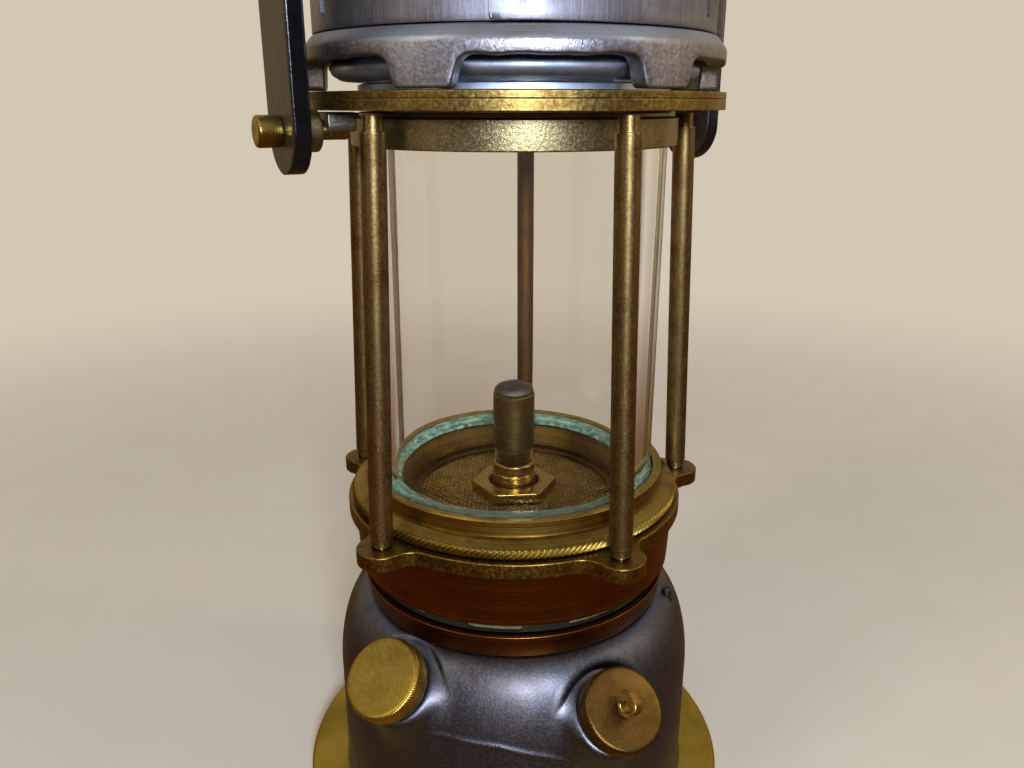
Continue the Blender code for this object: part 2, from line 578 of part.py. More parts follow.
def knurled_cap(name, looks, place):
    """A cap with straight knurling round its side and a plain plug below, lofted ring by ring."""
    levels = [
        (CAP_RADIUS - CAP_EDGE_WIDTH - CAP_KNURL_DEPTH, CAP_HEIGHT, 0.0),
        (CAP_RADIUS, CAP_HEIGHT - CAP_EDGE_WIDTH, 1.0),
        (CAP_RADIUS, 0.0, 1.0),
        (CAP_PLUG_RADIUS, 0.0, 0.0),
        (CAP_PLUG_RADIUS, -CAP_PLUG_LENGTH, 0.0),
    ]
    work = bmesh.new()
    rings = []
    for radius, height, depth_share in levels:
        turn = math.tau / CAP_TEETH / 2
        reach = [radius - CAP_KNURL_DEPTH * depth_share * (index % 2) for index in range(2 * CAP_TEETH)]
        rings.append([work.verts.new((span * math.cos(turn * index), span * math.sin(turn * index), height))
                      for index, span in enumerate(reach)])
    work.faces.new(rings[0])
    work.faces.new(rings[-1])
    for upper, lower in zip(rings, rings[1:]):
        for index in range(len(upper)):
            after = (index + 1) % len(upper)
            work.faces.new((upper[index], lower[index], lower[after], upper[after]))
    bmesh.ops.recalc_face_normals(work, faces=work.faces)
    mesh = bpy.data.meshes.new(name)
    work.to_mesh(mesh)
    work.free()
    return place_object(name, mesh, looks, place)


axes = {}
for side, frame in cap_frames.items():
    axis = bpy.data.objects.new("filler_" + side + "_axis", None)
    lamp.objects.link(axis)
    axis.matrix_world = frame
    washer = turned("filler_washer_" + side, [
        (FILLER_BORE_RADIUS, FIT), (FILLER_BORE_RADIUS, FIT + WASHER_THICKNESS),
        (WASHER_RADIUS, FIT + WASHER_THICKNESS), (WASHER_RADIUS, FIT),
    ], DARK_FIBRE, SMALL_STEPS, frame)
    seat = Matrix.Translation((0.0, 0.0, FIT + WASHER_THICKNESS + FIT))
    cap = knurled_cap("filler_cap_" + side, BRASS, frame @ seat)
    axes[axis.name] = (axis, [washer, cap])

# Curled eye on the right cap, for a sealing wire
band = arc((0.0, 0.0), (EYE_RADIUS, EYE_RADIUS), EYE_START, EYE_END, THIN_STEPS)
inner_eye = EYE_RADIUS - EYE_THICKNESS
band += reversed(arc((0.0, 0.0), (inner_eye, inner_eye), EYE_START, EYE_END, THIN_STEPS))
eye_seat = CAP_SEAT_DEPTH + FIT + EYE_RADIUS * math.sin(math.radians(-EYE_START))
eye_turn = Matrix.Rotation(math.radians(90.0), 4, "X")
eye_place = cap_frames["right"] @ Matrix.Translation((0.0, EYE_WIDTH / 2, eye_seat)) @ eye_turn
eye = flat("seal_eye", [band], EYE_WIDTH, BRASS, eye_place)
axes["filler_right_axis"][1].append(eye)

# Burner tower, gauze disc and its rim, hexagon nut, collar, tube and tip
turned("burner_tower", [
    (TOWER_BORE_RADIUS, TOWER_Z), (TOWER_BORE_RADIUS, TOWER_TOP_Z), (TOWER_FLANGE_RADIUS, TOWER_TOP_Z),
    (TOWER_FLANGE_RADIUS, TOWER_TOP_Z - TOWER_FLANGE_THICKNESS),
    (TOWER_RADIUS, TOWER_TOP_Z - TOWER_FLANGE_THICKNESS), (TOWER_RADIUS, TOWER_Z),
], BRASS, SMALL_STEPS)
flat("gauze_disc", [circle(GAUZE_RADIUS, RING_STEPS), circle(GAUZE_HOLE_RADIUS, SMALL_STEPS)], GAUZE_THICKNESS,
     BRONZE_GAUZE, Matrix.Translation((0.0, 0.0, GAUZE_Z)))
turned("gauze_rim", [
    (GAUZE_RADIUS + FIT, GAUZE_RIM_Z), (GAUZE_RADIUS + FIT, GAUZE_LIP_Z), (GAUZE_LIP_RADIUS, GAUZE_LIP_Z),
    (GAUZE_LIP_RADIUS, SEAT_Z - FIT), (GAUZE_RIM_RADIUS, SEAT_Z - FIT), (GAUZE_RIM_RADIUS, GAUZE_RIM_Z),
], BRASS, RING_STEPS)
hexagon = [tuple(polar(NUT_CORNER_RADIUS, NUT_AZIMUTH + 60.0 * index, 0.0)[:2]) for index in range(6)]
flat("gauze_nut", [hexagon, circle(NUT_HOLE_RADIUS, SMALL_STEPS)], NUT_THICKNESS, BRASS,
     Matrix.Translation((0.0, 0.0, NUT_Z)))
ring("burner_collar", BURNER_COLLAR_RADIUS, TOWER_BORE_RADIUS, BURNER_COLLAR_Z,
     BURNER_COLLAR_Z + BURNER_COLLAR_HEIGHT, BRASS, SMALL_STEPS, upper_edge=FIT)
turned("burner_tube", [
    (BURNER_BORE_RADIUS, BURNER_TUBE_Z), (BURNER_BORE_RADIUS, BURNER_TOP_Z), (BURNER_TUBE_RADIUS, BURNER_TOP_Z),
    (BURNER_TUBE_RADIUS, BURNER_TUBE_Z + BURNER_THREAD_HEIGHT),
    (BURNER_THREAD_RADIUS, BURNER_TUBE_Z + BURNER_THREAD_HEIGHT), (BURNER_THREAD_RADIUS, BURNER_TUBE_Z),
], BRASS, SMALL_STEPS)
tip_z = BURNER_TOP_Z + FIT
turned("burner_tip", [
    *reversed(arc((0.0, tip_z), (TIP_RADIUS, TIP_HEIGHT), 0.0, 90.0, ARC_STEPS)),
    (BURNER_BORE_RADIUS - FIT, tip_z), (BURNER_BORE_RADIUS - FIT, tip_z - TIP_STEM_LENGTH),
    (0.0, tip_z - TIP_STEM_LENGTH),
], DARK_STEEL, SMALL_STEPS, closed=False)

# Seal under the frame's threaded spigot
frame_seal = ring("frame_seal", SPIGOT_RADIUS, LEDGE_RADIUS, SEAL_Z, SEAL_Z + SEAL_THICKNESS, DARK_FIBRE,
                  RING_STEPS)

# Lower frame
lower = [turned("thread_collar", [
    (THREAD_COLLAR_INNER_RADIUS, SPIGOT_Z), (THREAD_COLLAR_INNER_RADIUS, THREAD_COLLAR_TOP_Z),
    (THREAD_COLLAR_RADIUS, THREAD_COLLAR_TOP_Z),
    (THREAD_COLLAR_RADIUS - THREAD_COLLAR_TAPER_WIDTH, THREAD_COLLAR_Z),
    (SPIGOT_RADIUS, THREAD_COLLAR_Z), (SPIGOT_RADIUS, SPIGOT_Z),
], BRASS, RING_STEPS)]
air_ring = ring("air_ring", AIR_RING_RADIUS, AIR_RING_INNER_RADIUS, AIR_RING_Z, AIR_RING_TOP_Z, DARK_STEEL,
                RING_STEPS)
port_width = 2 * AIR_RING_RADIUS * math.sin(math.radians(AIR_PORT_ANGLE / 2))
for index in range(AIR_PORT_COUNT // 2):
    across = outward(AIR_PORT_AZIMUTH + 360.0 * index / AIR_PORT_COUNT, 0.0,
                     Vector((0.0, 0.0, AIR_RING_Z + AIR_RING_HEIGHT / 2)))
    port_length = 2 * (AIR_RING_RADIUS + OVERRUN)
    combine(air_ring, block("air_port", (port_width, AIR_PORT_HEIGHT, port_length), None, across))
lower.append(air_ring)
lower.append(turned("barrel", [
    (BARREL_INNER_RADIUS, BARREL_Z), (BARREL_INNER_RADIUS, BARREL_TOP_Z),
    (BARREL_RADIUS + BARREL_FLARE_WIDTH, BARREL_TOP_Z), (BARREL_RADIUS, BARREL_Z),
], BRASS, WIDE_STEPS))


def plate_outline():
    """The round plate with an ear at each pillar, blended by a concave fillet on both sides."""
    hub = PLATE_RADIUS + EAR_FILLET_RADIUS
    reach = EAR_RADIUS + EAR_FILLET_RADIUS
    spread = PILLAR_BOTTOM_CIRCLE_RADIUS
    swing = math.acos((spread ** 2 + hub ** 2 - reach ** 2) / (2 * spread * hub))
    points = []
    for azimuth in PILLAR_ANGLES:
        middle = math.radians(azimuth) - math.pi / 2
        ear = (spread * math.cos(middle), spread * math.sin(middle))
        for sign in (-1, 1):
            turn = middle + sign * swing
            hollow = (hub * math.cos(turn), hub * math.sin(turn))
            to_hub = math.degrees(turn) + 180.0
            to_ear = math.degrees(math.atan2(ear[1] - hollow[1], ear[0] - hollow[0]))
            bend = (to_ear - to_hub + 180.0) % 360.0 - 180.0
            fillet = arc(hollow, (EAR_FILLET_RADIUS, EAR_FILLET_RADIUS), to_hub, to_hub + bend, ARC_STEPS)
            if sign < 0:
                points += fillet[:-1]
                start = to_ear + 180.0
            else:
                finish = to_ear + 180.0
                span = (finish - start) % 360.0
                points += arc(ear, (EAR_RADIUS, EAR_RADIUS), start, start + span, ARC_STEPS + ARC_STEPS)
                points += list(reversed(fillet))[1:]
        gap = math.tau / PILLAR_COUNT - 2 * swing
        rim = arc((0.0, 0.0), (PLATE_RADIUS, PLATE_RADIUS), math.degrees(middle + swing),
                  math.degrees(middle + swing + gap), ARC_STEPS)
        points += rim[1:-1]
    return points


pillar_spots = [tuple(polar(PILLAR_BOTTOM_CIRCLE_RADIUS, azimuth, 0.0)[:2]) for azimuth in PILLAR_ANGLES]
lower.append(flat("pillar_plate", [
    plate_outline(), circle(PLATE_HOLE_RADIUS, RING_STEPS),
    *[circle(SCREW_HOLE_RADIUS, THIN_STEPS, spot) for spot in pillar_spots],
], PLATE_THICKNESS, BRASS, Matrix.Translation((0.0, 0.0, PLATE_Z))))
lower.append(turned("glass_seat", [
    (SEAT_BORE_RADIUS, SEAT_Z), (SEAT_FLOOR_RADIUS, SEAT_FLOOR_Z), (SEAT_RIM_INNER_RADIUS, SEAT_FLOOR_Z),
    (SEAT_RIM_INNER_RADIUS, SEAT_TOP_Z), (SEAT_RIM_RADIUS, SEAT_TOP_Z), (SEAT_RIM_RADIUS, SEAT_STEP_Z),
    (SEAT_STEP_RADIUS, SEAT_STEP_Z), (KNURL_RADIUS - KNURL_ROUND_RADIUS, KNURL_TOP_Z),
    (KNURL_RADIUS, KNURL_TOP_Z - KNURL_ROUND_RADIUS), (KNURL_RADIUS, SEAT_Z + KNURL_ROUND_RADIUS),
    (KNURL_RADIUS - KNURL_ROUND_RADIUS, SEAT_Z),
], BRASS, WIDE_STEPS))

# Glass between its two gaskets, and the collar over it
gasket_outer = SEAT_RIM_INNER_RADIUS - FIT
lower.append(ring("lower_gasket", gasket_outer, GASKET_INNER_RADIUS, GASKET_Z, GASKET_Z + GASKET_THICKNESS,
                  TEAL_RUBBER, RING_STEPS))
lower.append(ring("glass", GLASS_RADIUS, GLASS_INNER_RADIUS, GLASS_Z, GLASS_TOP_Z, CLEAR_GLASS, WIDE_STEPS))
lower.append(ring("upper_gasket", GLASS_RADIUS, GLASS_INNER_RADIUS, TOP_GASKET_Z,
                  TOP_GASKET_Z + TOP_GASKET_THICKNESS, DARK_FIBRE, RING_STEPS))
lower.append(turned("glass_collar", [
    (COLLAR_SKIRT_INNER_RADIUS, COLLAR_SKIRT_Z), (COLLAR_SKIRT_INNER_RADIUS, COLLAR_CEILING_Z),
    (GLASS_INNER_RADIUS, COLLAR_CEILING_Z), (GLASS_INNER_RADIUS, COLLAR_TOP_Z + COLLAR_NECK_HEIGHT),
    (GLASS_RADIUS, COLLAR_TOP_Z + COLLAR_NECK_HEIGHT), (GLASS_RADIUS, COLLAR_TOP_Z),
    (COLLAR_RADIUS, COLLAR_TOP_Z), (COLLAR_RADIUS, COLLAR_SKIRT_Z),
], BRASS, WIDE_STEPS))

# Pillars with a neck at each end, and the screws that hold them from below
pillar_low = PLATE_TOP_Z + FIT
pillar_rise = RING_Z - FIT - pillar_low
lean = math.atan2(PILLAR_BOTTOM_CIRCLE_RADIUS - PILLAR_TOP_CIRCLE_RADIUS, pillar_rise)
pillar_end = FIT + PILLAR_RADIUS * math.tan(lean)
pillar_length = pillar_rise / math.cos(lean) - pillar_end
for index, azimuth in enumerate(PILLAR_ANGLES):
    stand = outward(azimuth, 90.0 + math.degrees(lean), polar(PILLAR_BOTTOM_CIRCLE_RADIUS, azimuth, pillar_low))
    lower.append(turned("pillar_%d" % (index + 1), [
        (0.0, pillar_length), (PILLAR_NECK_RADIUS, pillar_length),
        (PILLAR_NECK_RADIUS, pillar_length - PILLAR_NECK_LENGTH),
        (PILLAR_RADIUS, pillar_length - PILLAR_NECK_LENGTH),
        (PILLAR_RADIUS, PILLAR_FOOT_LENGTH), (PILLAR_NECK_RADIUS, PILLAR_FOOT_LENGTH),
        (PILLAR_NECK_RADIUS, pillar_end - FIT), (0.0, pillar_end - FIT),
    ], BRASS, THIN_STEPS, stand, closed=False))
    head = Matrix.Translation(polar(PILLAR_BOTTOM_CIRCLE_RADIUS, azimuth, PLATE_Z - FIT))
    lower.append(turned("pillar_screw_%d" % (index + 1), [
        (0.0, FIT + PLATE_THICKNESS), (SCREW_RADIUS, FIT + PLATE_THICKNESS), (SCREW_RADIUS, 0.0),
        (SCREW_HEAD_RADIUS, 0.0), (SCREW_HEAD_RADIUS - FIT, -SCREW_HEAD_HEIGHT), (0.0, -SCREW_HEAD_HEIGHT),
    ], BRASS, THIN_STEPS, head, closed=False))

# Two stacked ring plates
lower.append(ring("ring_lower", RING_RADIUS, RING_HOLE_RADIUS, RING_Z, RING_Z + RING_LOWER_THICKNESS, BRASS,
                  WIDE_STEPS, lower_edge=RING_EDGE_WIDTH))
lower.append(ring("ring_upper", RING_RADIUS, RING_HOLE_RADIUS, RING_UPPER_Z, RING_TOP_Z, BRASS, WIDE_STEPS,
                  upper_edge=RING_EDGE_WIDTH))

# Bail pivots: a bracket under the ring, a spacing collar and a headed pin on each side
arm_outer = BAIL_HALF_GAP + BAIL_THICKNESS
for side, azimuth, play in (("left", -90.0, -BAIL_SIDE_GAP), ("right", 90.0, BAIL_SIDE_GAP)):
    pivot = outward(azimuth, 0.0, Vector((0.0, 0.0, PIVOT_Z)))
    bracket_height = PIVOT_DROP_HEIGHT - FIT + BRACKET_DROP_HEIGHT
    bracket_middle = Vector((0.0, bracket_height / 2 - BRACKET_DROP_HEIGHT,
                             BRACKET_OUTER_WIDTH - BRACKET_LENGTH / 2))
    bracket = block("pivot_bracket_" + side, (BRACKET_WIDTH, bracket_height, BRACKET_LENGTH), BRASS,
                    pivot @ Matrix.Translation(bracket_middle))
    drill = rod("pivot_bore_" + side, PIN_HOLE_RADIUS, BRACKET_LENGTH + OVERRUN, None, THIN_STEPS,
                pivot @ Matrix.Translation((0.0, 0.0, BRACKET_INNER_WIDTH - OVERRUN / 2)))
    combine(bracket, drill)
    collar_start = BRACKET_OUTER_WIDTH + FIT
    collar = turned("pivot_collar_" + side, [
        (PIN_HOLE_RADIUS, collar_start), (PIN_HOLE_RADIUS, collar_start + PIVOT_COLLAR_LENGTH),
        (PIVOT_COLLAR_RADIUS, collar_start + PIVOT_COLLAR_LENGTH), (PIVOT_COLLAR_RADIUS, collar_start),
    ], BRASS, SMALL_STEPS, pivot)
    head_start = arm_outer + play + FIT
    head_end = head_start + PIN_HEAD_LENGTH
    pin = turned("pivot_pin_" + side, [
        (0.0, head_end), (PIN_HEAD_RADIUS - PIN_EDGE_WIDTH, head_end),
        (PIN_HEAD_RADIUS, head_end - PIN_EDGE_WIDTH), (PIN_HEAD_RADIUS, head_start), (PIN_RADIUS, head_start),
        (PIN_RADIUS, PIN_INNER_WIDTH), (0.0, PIN_INNER_WIDTH),
    ], BRASS, THIN_STEPS, pivot, closed=False)
    lower += [bracket, collar, pin]

# Bail: a flat bar bent over the bonnet, its ends rounded about the pivots
bail_turn = Matrix.Translation((BAIL_SIDE_GAP, 0.0, PIVOT_Z))
upright = Matrix.Rotation(math.radians(90.0), 4, "X")
bail_low = -BAIL_WIDTH / 2
outer_bend = BAIL_BEND_RADIUS + BAIL_THICKNESS
bend_x = BAIL_HALF_GAP - BAIL_BEND_RADIUS
bend_z = BAIL_HEIGHT - BAIL_BEND_RADIUS
bail_outline = [(arm_outer, bail_low)]
bail_outline += arc((bend_x, bend_z), (outer_bend, outer_bend), 0.0, 90.0, BAIL_BEND_STEPS)
bail_outline += arc((-bend_x, bend_z), (outer_bend, outer_bend), 90.0, 180.0, BAIL_BEND_STEPS)
bail_outline += [(-arm_outer, bail_low), (-BAIL_HALF_GAP, bail_low)]
bail_outline += arc((-bend_x, bend_z), (BAIL_BEND_RADIUS, BAIL_BEND_RADIUS), 180.0, 90.0, BAIL_BEND_STEPS)
bail_outline += arc((bend_x, bend_z), (BAIL_BEND_RADIUS, BAIL_BEND_RADIUS), 90.0, 0.0, BAIL_BEND_STEPS)
bail_outline += [(BAIL_HALF_GAP, bail_low)]
bail = flat("bail", [bail_outline], BAIL_WIDTH, BLACK_PAINT,
            bail_turn @ upright @ Matrix.Translation((0.0, 0.0, -BAIL_WIDTH / 2)))
across_x = outward(90.0, 0.0, Vector((0.0, 0.0, PIVOT_Z)))
half_width = BAIL_WIDTH / 2
end_cut = [(-half_width - OVERRUN, 0.0)]
end_cut += arc((0.0, 0.0), (half_width, half_width), 180.0, 360.0, ARC_STEPS + ARC_STEPS)
end_cut += [(half_width + OVERRUN, 0.0), (half_width + OVERRUN, -half_width - OVERRUN),
            (-half_width - OVERRUN, -half_width - OVERRUN)]
span = 2 * (arm_outer + OVERRUN)
combine(bail, flat("bail_end_cut", [end_cut], span, None, across_x @ Matrix.Translation((0.0, 0.0, -span / 2))))
combine(bail, rod("bail_pin_holes", PIN_HOLE_RADIUS, span, None, THIN_STEPS,
                  across_x @ Matrix.Translation((0.0, 0.0, -span / 2))))

# Bonnet base: a cast ring standing on six feet with wide windows between them
bonnet_base = turned("bonnet_base", [
    (BASE_INNER_RADIUS, BASE_Z), (BASE_INNER_RADIUS, BASE_TOP_Z), (BASE_TOP_RADIUS - FIT, BASE_TOP_Z),
    (BASE_TOP_RADIUS, BASE_TOP_Z - FIT), (BASE_RADIUS, BASE_TOP_Z - BASE_BEVEL_HEIGHT), (BASE_RADIUS, BASE_Z),
], CAST_ALUMINIUM, WIDE_STEPS)
pitch_angle = math.pi / BASE_FEET
window_low = BASE_RADIUS * math.sin(pitch_angle - math.asin(BASE_FOOT_WIDTH / 2 / BASE_RADIUS))
foot_top_width = BASE_FOOT_WIDTH + BASE_FOOT_FLARE_WIDTH
window_high = BASE_RADIUS * math.sin(pitch_angle - math.asin(foot_top_width / 2 / BASE_RADIUS))
window = [(-window_low, -OVERRUN), (window_low, -OVERRUN)]
corner_x = window_high - WINDOW_ROUND_RADIUS
corner_z = WINDOW_HEIGHT - WINDOW_ROUND_RADIUS
corner = (WINDOW_ROUND_RADIUS, WINDOW_ROUND_RADIUS)
window += arc((corner_x, corner_z), corner, 0.0, 90.0, ARC_STEPS)
window += arc((-corner_x, corner_z), corner, 90.0, 180.0, ARC_STEPS)
window_inner = BASE_INNER_RADIUS * math.cos(pitch_angle) - OVERRUN
for azimuth in BASE_FOOT_ANGLES:
    aim = outward(azimuth + math.degrees(pitch_angle), 0.0, Vector((0.0, 0.0, BASE_Z)))
    combine(bonnet_base, flat("base_window", [window], BASE_RADIUS + OVERRUN - window_inner, None,
                              aim @ Matrix.Translation((0.0, 0.0, window_inner))))

# Deflector ring inside the feet: narrow foot, waist and a bulging band scalloped beside each foot
waist_z = BASE_Z + DEFLECTOR_FOOT_HEIGHT
bulge_z = waist_z + DEFLECTOR_WAIST_HEIGHT
bulge_half = DEFLECTOR_BULGE_HEIGHT / 2
bulge_depth = DEFLECTOR_BULGE_RADIUS - DEFLECTOR_TOP_RADIUS
deflector_top_z = bulge_z + DEFLECTOR_BULGE_HEIGHT + DEFLECTOR_TOP_HEIGHT
deflector = turned("deflector", [
    (DEFLECTOR_INNER_RADIUS, BASE_Z), (DEFLECTOR_INNER_RADIUS, deflector_top_z),
    (DEFLECTOR_TOP_RADIUS, deflector_top_z),
    *arc((DEFLECTOR_TOP_RADIUS, bulge_z + bulge_half), (bulge_depth, bulge_half), 90.0, -90.0, ARC_STEPS),
    (DEFLECTOR_WAIST_RADIUS, bulge_z), (DEFLECTOR_WAIST_RADIUS, waist_z), (DEFLECTOR_FOOT_RADIUS, waist_z),
    (DEFLECTOR_FOOT_RADIUS, BASE_Z),
], SHEET_ALUMINIUM, RING_STEPS)
for azimuth in BASE_FOOT_ANGLES:
    scallop = outward(azimuth, 0.0, Vector((0.0, 0.0, bulge_z + SCALLOP_HEIGHT - SCALLOP_RADIUS)))
    combine(deflector, rod("scallop", SCALLOP_RADIUS, BASE_RADIUS - DEFLECTOR_FOOT_RADIUS, None, SMALL_STEPS,
                           scallop @ Matrix.Translation((0.0, 0.0, DEFLECTOR_FOOT_RADIUS + SCALLOP_HEIGHT))))

# Inner gauze chimney with a flange at its foot and a lid on its top
chimney_z = BASE_Z + CHIMNEY_HEIGHT
chimney_top = CHIMNEY_RADIUS - CHIMNEY_TAPER_WIDTH
chimney = turned("gauze_chimney", [
    (CHIMNEY_RADIUS - CHIMNEY_WALL_THICKNESS, BASE_Z), (chimney_top - CHIMNEY_WALL_THICKNESS, chimney_z),
    (chimney_top, chimney_z), (CHIMNEY_RADIUS, BASE_Z + CHIMNEY_WALL_THICKNESS),
    (CHIMNEY_FLANGE_RADIUS, BASE_Z + CHIMNEY_WALL_THICKNESS), (CHIMNEY_FLANGE_RADIUS, BASE_Z),
], BRONZE_GAUZE, SMALL_STEPS)
gauze_lid = rod("gauze_lid", chimney_top + FIT, CHIMNEY_WALL_THICKNESS, BRONZE_GAUZE, SMALL_STEPS,
                Matrix.Translation((0.0, 0.0, chimney_z + FIT)))


def lapped_outline():
    """A rolled sheet whose start is set inward, so that its end lies over it."""
    inset = SHELL_WALL_THICKNESS + SHELL_LAP_GAP
    joggle_end = SHELL_LAP_ANGLE + SHELL_JOGGLE_ANGLE
    turns = [0.0, SHELL_LAP_ANGLE, joggle_end]
    steps = WIDE_STEPS
    turns += [joggle_end + (360.0 - joggle_end) * index / steps for index in range(1, steps + 1)]
    turns.append(360.0 + SHELL_LAP_ANGLE - SHELL_JOGGLE_ANGLE)
    outer = []
    inner = []
    for turn in turns:
        radius = SHELL_RADIUS - (inset if turn <= SHELL_LAP_ANGLE else 0.0)
        angle = math.radians(SHELL_SEAM_AZIMUTH - 90.0 - joggle_end + turn)
        inside = radius - SHELL_WALL_THICKNESS
        outer.append((radius * math.cos(angle), radius * math.sin(angle)))
        inner.append((inside * math.cos(angle), inside * math.sin(angle)))
    return outer + inner[::-1]


# Bonnet shell: lapped sheet with slots and dimples low down and round outlets near its top
shell = flat("bonnet_shell", [lapped_outline()], SHELL_HEIGHT, SHEET_ALUMINIUM,
             Matrix.Translation((0.0, 0.0, SHELL_Z)))
for index in range(SLOT_COUNT):
    turn = 360.0 * index / SLOT_COUNT
    slot = outward(SLOT_AZIMUTH + turn, 0.0, Vector((0.0, 0.0, SHELL_Z + SLOT_BASE_HEIGHT + SLOT_HEIGHT / 2)))
    combine(shell, block("shell_slot", (SLOT_WIDTH, SLOT_HEIGHT, OVERRUN + OVERRUN), None,
                         slot @ Matrix.Translation((0.0, 0.0, SHELL_RADIUS))))
    dimple_out = SHELL_RADIUS + DIMPLE_RADIUS - DIMPLE_DEPTH
    mesh = bpy.data.meshes.new("dimple")
    work = bmesh.new()
    bmesh.ops.create_uvsphere(work, u_segments=SMALL_STEPS, v_segments=THIN_STEPS, radius=DIMPLE_RADIUS)
    work.to_mesh(mesh)
    work.free()
    centre = polar(dimple_out, DIMPLE_AZIMUTH + turn, SHELL_Z + DIMPLE_BASE_HEIGHT)
    combine(shell, place_object("dimple", mesh, None, Matrix.Translation(centre), cutters))
for index in range(OUTLET_COUNT // 2):
    aim = outward(360.0 * index / OUTLET_COUNT, 0.0,
                  Vector((0.0, 0.0, SHELL_TOP_Z - OUTLET_DROP_HEIGHT)))
    length = 2 * (SHELL_RADIUS + OVERRUN)
    combine(shell, rod("outlet", OUTLET_RADIUS, length, None, THIN_STEPS,
                       aim @ Matrix.Translation((0.0, 0.0, -length / 2))))

# Bonnet top: a spun cap with a skirt over the shell and a low crown
skirt_outer = TOP_SKIRT_INNER_RADIUS + TOP_WALL_THICKNESS
crown_radius = skirt_outer * TOP_CROWN_SHARE
crown_z = PIVOT_Z + BAIL_HEIGHT - BAIL_GRIP_HEIGHT
inner_width = SHELL_RADIUS - SHELL_WALL_THICKNESS - crown_radius
outer_dome = reversed(arc((crown_radius, TOP_SEAT_Z + TOP_WALL_THICKNESS),
                          (skirt_outer - crown_radius, TOP_DOME_HEIGHT), 0.0, 90.0, ARC_STEPS))
inner_dome = arc((crown_radius, TOP_SEAT_Z), (inner_width, TOP_DOME_HEIGHT), 0.0, 90.0, INNER_STEPS)
bonnet_top = turned("bonnet_top", [
    (0.0, crown_z), *outer_dome, (skirt_outer, SHELL_TOP_Z - TOP_SKIRT_HEIGHT),
    (TOP_SKIRT_INNER_RADIUS, SHELL_TOP_Z - TOP_SKIRT_HEIGHT), (TOP_SKIRT_INNER_RADIUS, TOP_SEAT_Z), *inner_dome,
    (0.0, crown_z - TOP_WALL_THICKNESS),
], SHEET_ALUMINIUM, WIDE_STEPS, closed=False)
lower += [bonnet_base, deflector, chimney, gauze_lid, shell, bonnet_top]

# Empties on the joint axes carry the pieces that move with them
for name, place, pieces in (
        ("frame_axis", Matrix.Translation((0.0, 0.0, VESSEL_TOP_Z)), [frame_seal] + lower),
        ("bail_axis", Matrix.Translation((0.0, 0.0, PIVOT_Z)), [bail])):
    axis = bpy.data.objects.new(name, None)
    lamp.objects.link(axis)
    axis.matrix_world = place
    axes[name] = (axis, pieces)
bpy.context.view_layer.update()
for axis, pieces in axes.values():
    for piece in pieces:
        piece.parent = axis
        piece.matrix_parent_inverse = axis.matrix_world.inverted()

for item in lamp.objects:
    if item.type == "MESH":
        item.data.shade_smooth()
        item.data.set_sharp_from_angle(angle=SHARP_ANGLE)
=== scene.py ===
import math

import bmesh
import bpy
import numpy as np
from mathutils import Matrix, Vector, noise


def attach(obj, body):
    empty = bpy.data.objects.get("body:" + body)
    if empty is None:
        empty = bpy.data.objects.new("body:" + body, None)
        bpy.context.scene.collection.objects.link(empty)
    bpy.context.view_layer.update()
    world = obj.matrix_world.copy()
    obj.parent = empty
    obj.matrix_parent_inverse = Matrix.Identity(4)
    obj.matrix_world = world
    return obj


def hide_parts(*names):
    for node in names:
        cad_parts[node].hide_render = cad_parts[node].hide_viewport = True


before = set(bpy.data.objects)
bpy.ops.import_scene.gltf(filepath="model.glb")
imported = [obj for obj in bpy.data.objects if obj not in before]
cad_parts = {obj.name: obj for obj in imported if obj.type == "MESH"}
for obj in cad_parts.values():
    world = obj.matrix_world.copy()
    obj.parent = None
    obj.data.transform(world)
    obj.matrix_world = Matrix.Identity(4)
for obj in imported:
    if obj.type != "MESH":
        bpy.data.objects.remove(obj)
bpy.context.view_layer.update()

# Sizes are in metres. An outline is a list of (radius, height). An azimuth is in degrees, from the front
# towards the right.
FINE_STEPS = 160        # points round a wide turned piece
SMALL_STEPS = 72        # points round a piece of the burner
TINY_STEPS = 40         # points round a rod, pin or screw
EDGE = 0.00028          # corner rounding of turned brass
ON_AXIS = 1e-7          # a smaller radius is a point on the axis
CREASE_ANGLE = math.radians(38)
PILLAR_AZIMUTHS = [0.0, 72.0, 144.0, 216.0, 288.0]
PILLAR_SPREAD = 0.0389  # radius of the pillars' circle at their feet
GAUZE_PITCH = 0.00095   # real gauze has a wire each 0.9 mm or less; drawn this coarse to show
# Sockets of a colour mix: its share, its two colours and the colour that it gives
SHARE, FIRST, SECOND, MIXED = 0, 6, 7, 2


def linear(code):
    """An sRGB hex colour as the linear colour that a shader takes."""
    shares = [int(code[at:at + 2], 16) / 255.0 for at in (1, 3, 5)]
    return (*[c / 12.92 if c <= 0.04045 else ((c + 0.055) / 1.055) ** 2.4 for c in shares], 1.0)


def add(tree, kind, inputs=None, stops=None, **settings):
    """Adds a node with its settings, input values or links, and colour stops."""
    item = tree.nodes.new("ShaderNode" + kind)
    for key, value in settings.items():
        setattr(item, key, value)
    for socket, value in (inputs or {}).items():
        if isinstance(value, bpy.types.NodeSocket):
            tree.links.new(value, item.inputs[socket])
        else:
            item.inputs[socket].default_value = value
    for index, (place, shade) in enumerate(stops or []):
        ramp = item.color_ramp.elements
        stop = ramp[index] if index < 2 else ramp.new(place)
        stop.position = place
        stop.color = (shade, shade, shade, 1.0) if isinstance(shade, float) else shade
    return item


def begin(name):
    """A new material, with its tree, its shader and the coordinates of the piece."""
    finish = bpy.data.materials.new(name)
    finish.use_nodes = True
    tree = finish.node_tree
    return finish, tree, tree.nodes["Principled BSDF"], add(tree, "TexCoord").outputs["Object"]


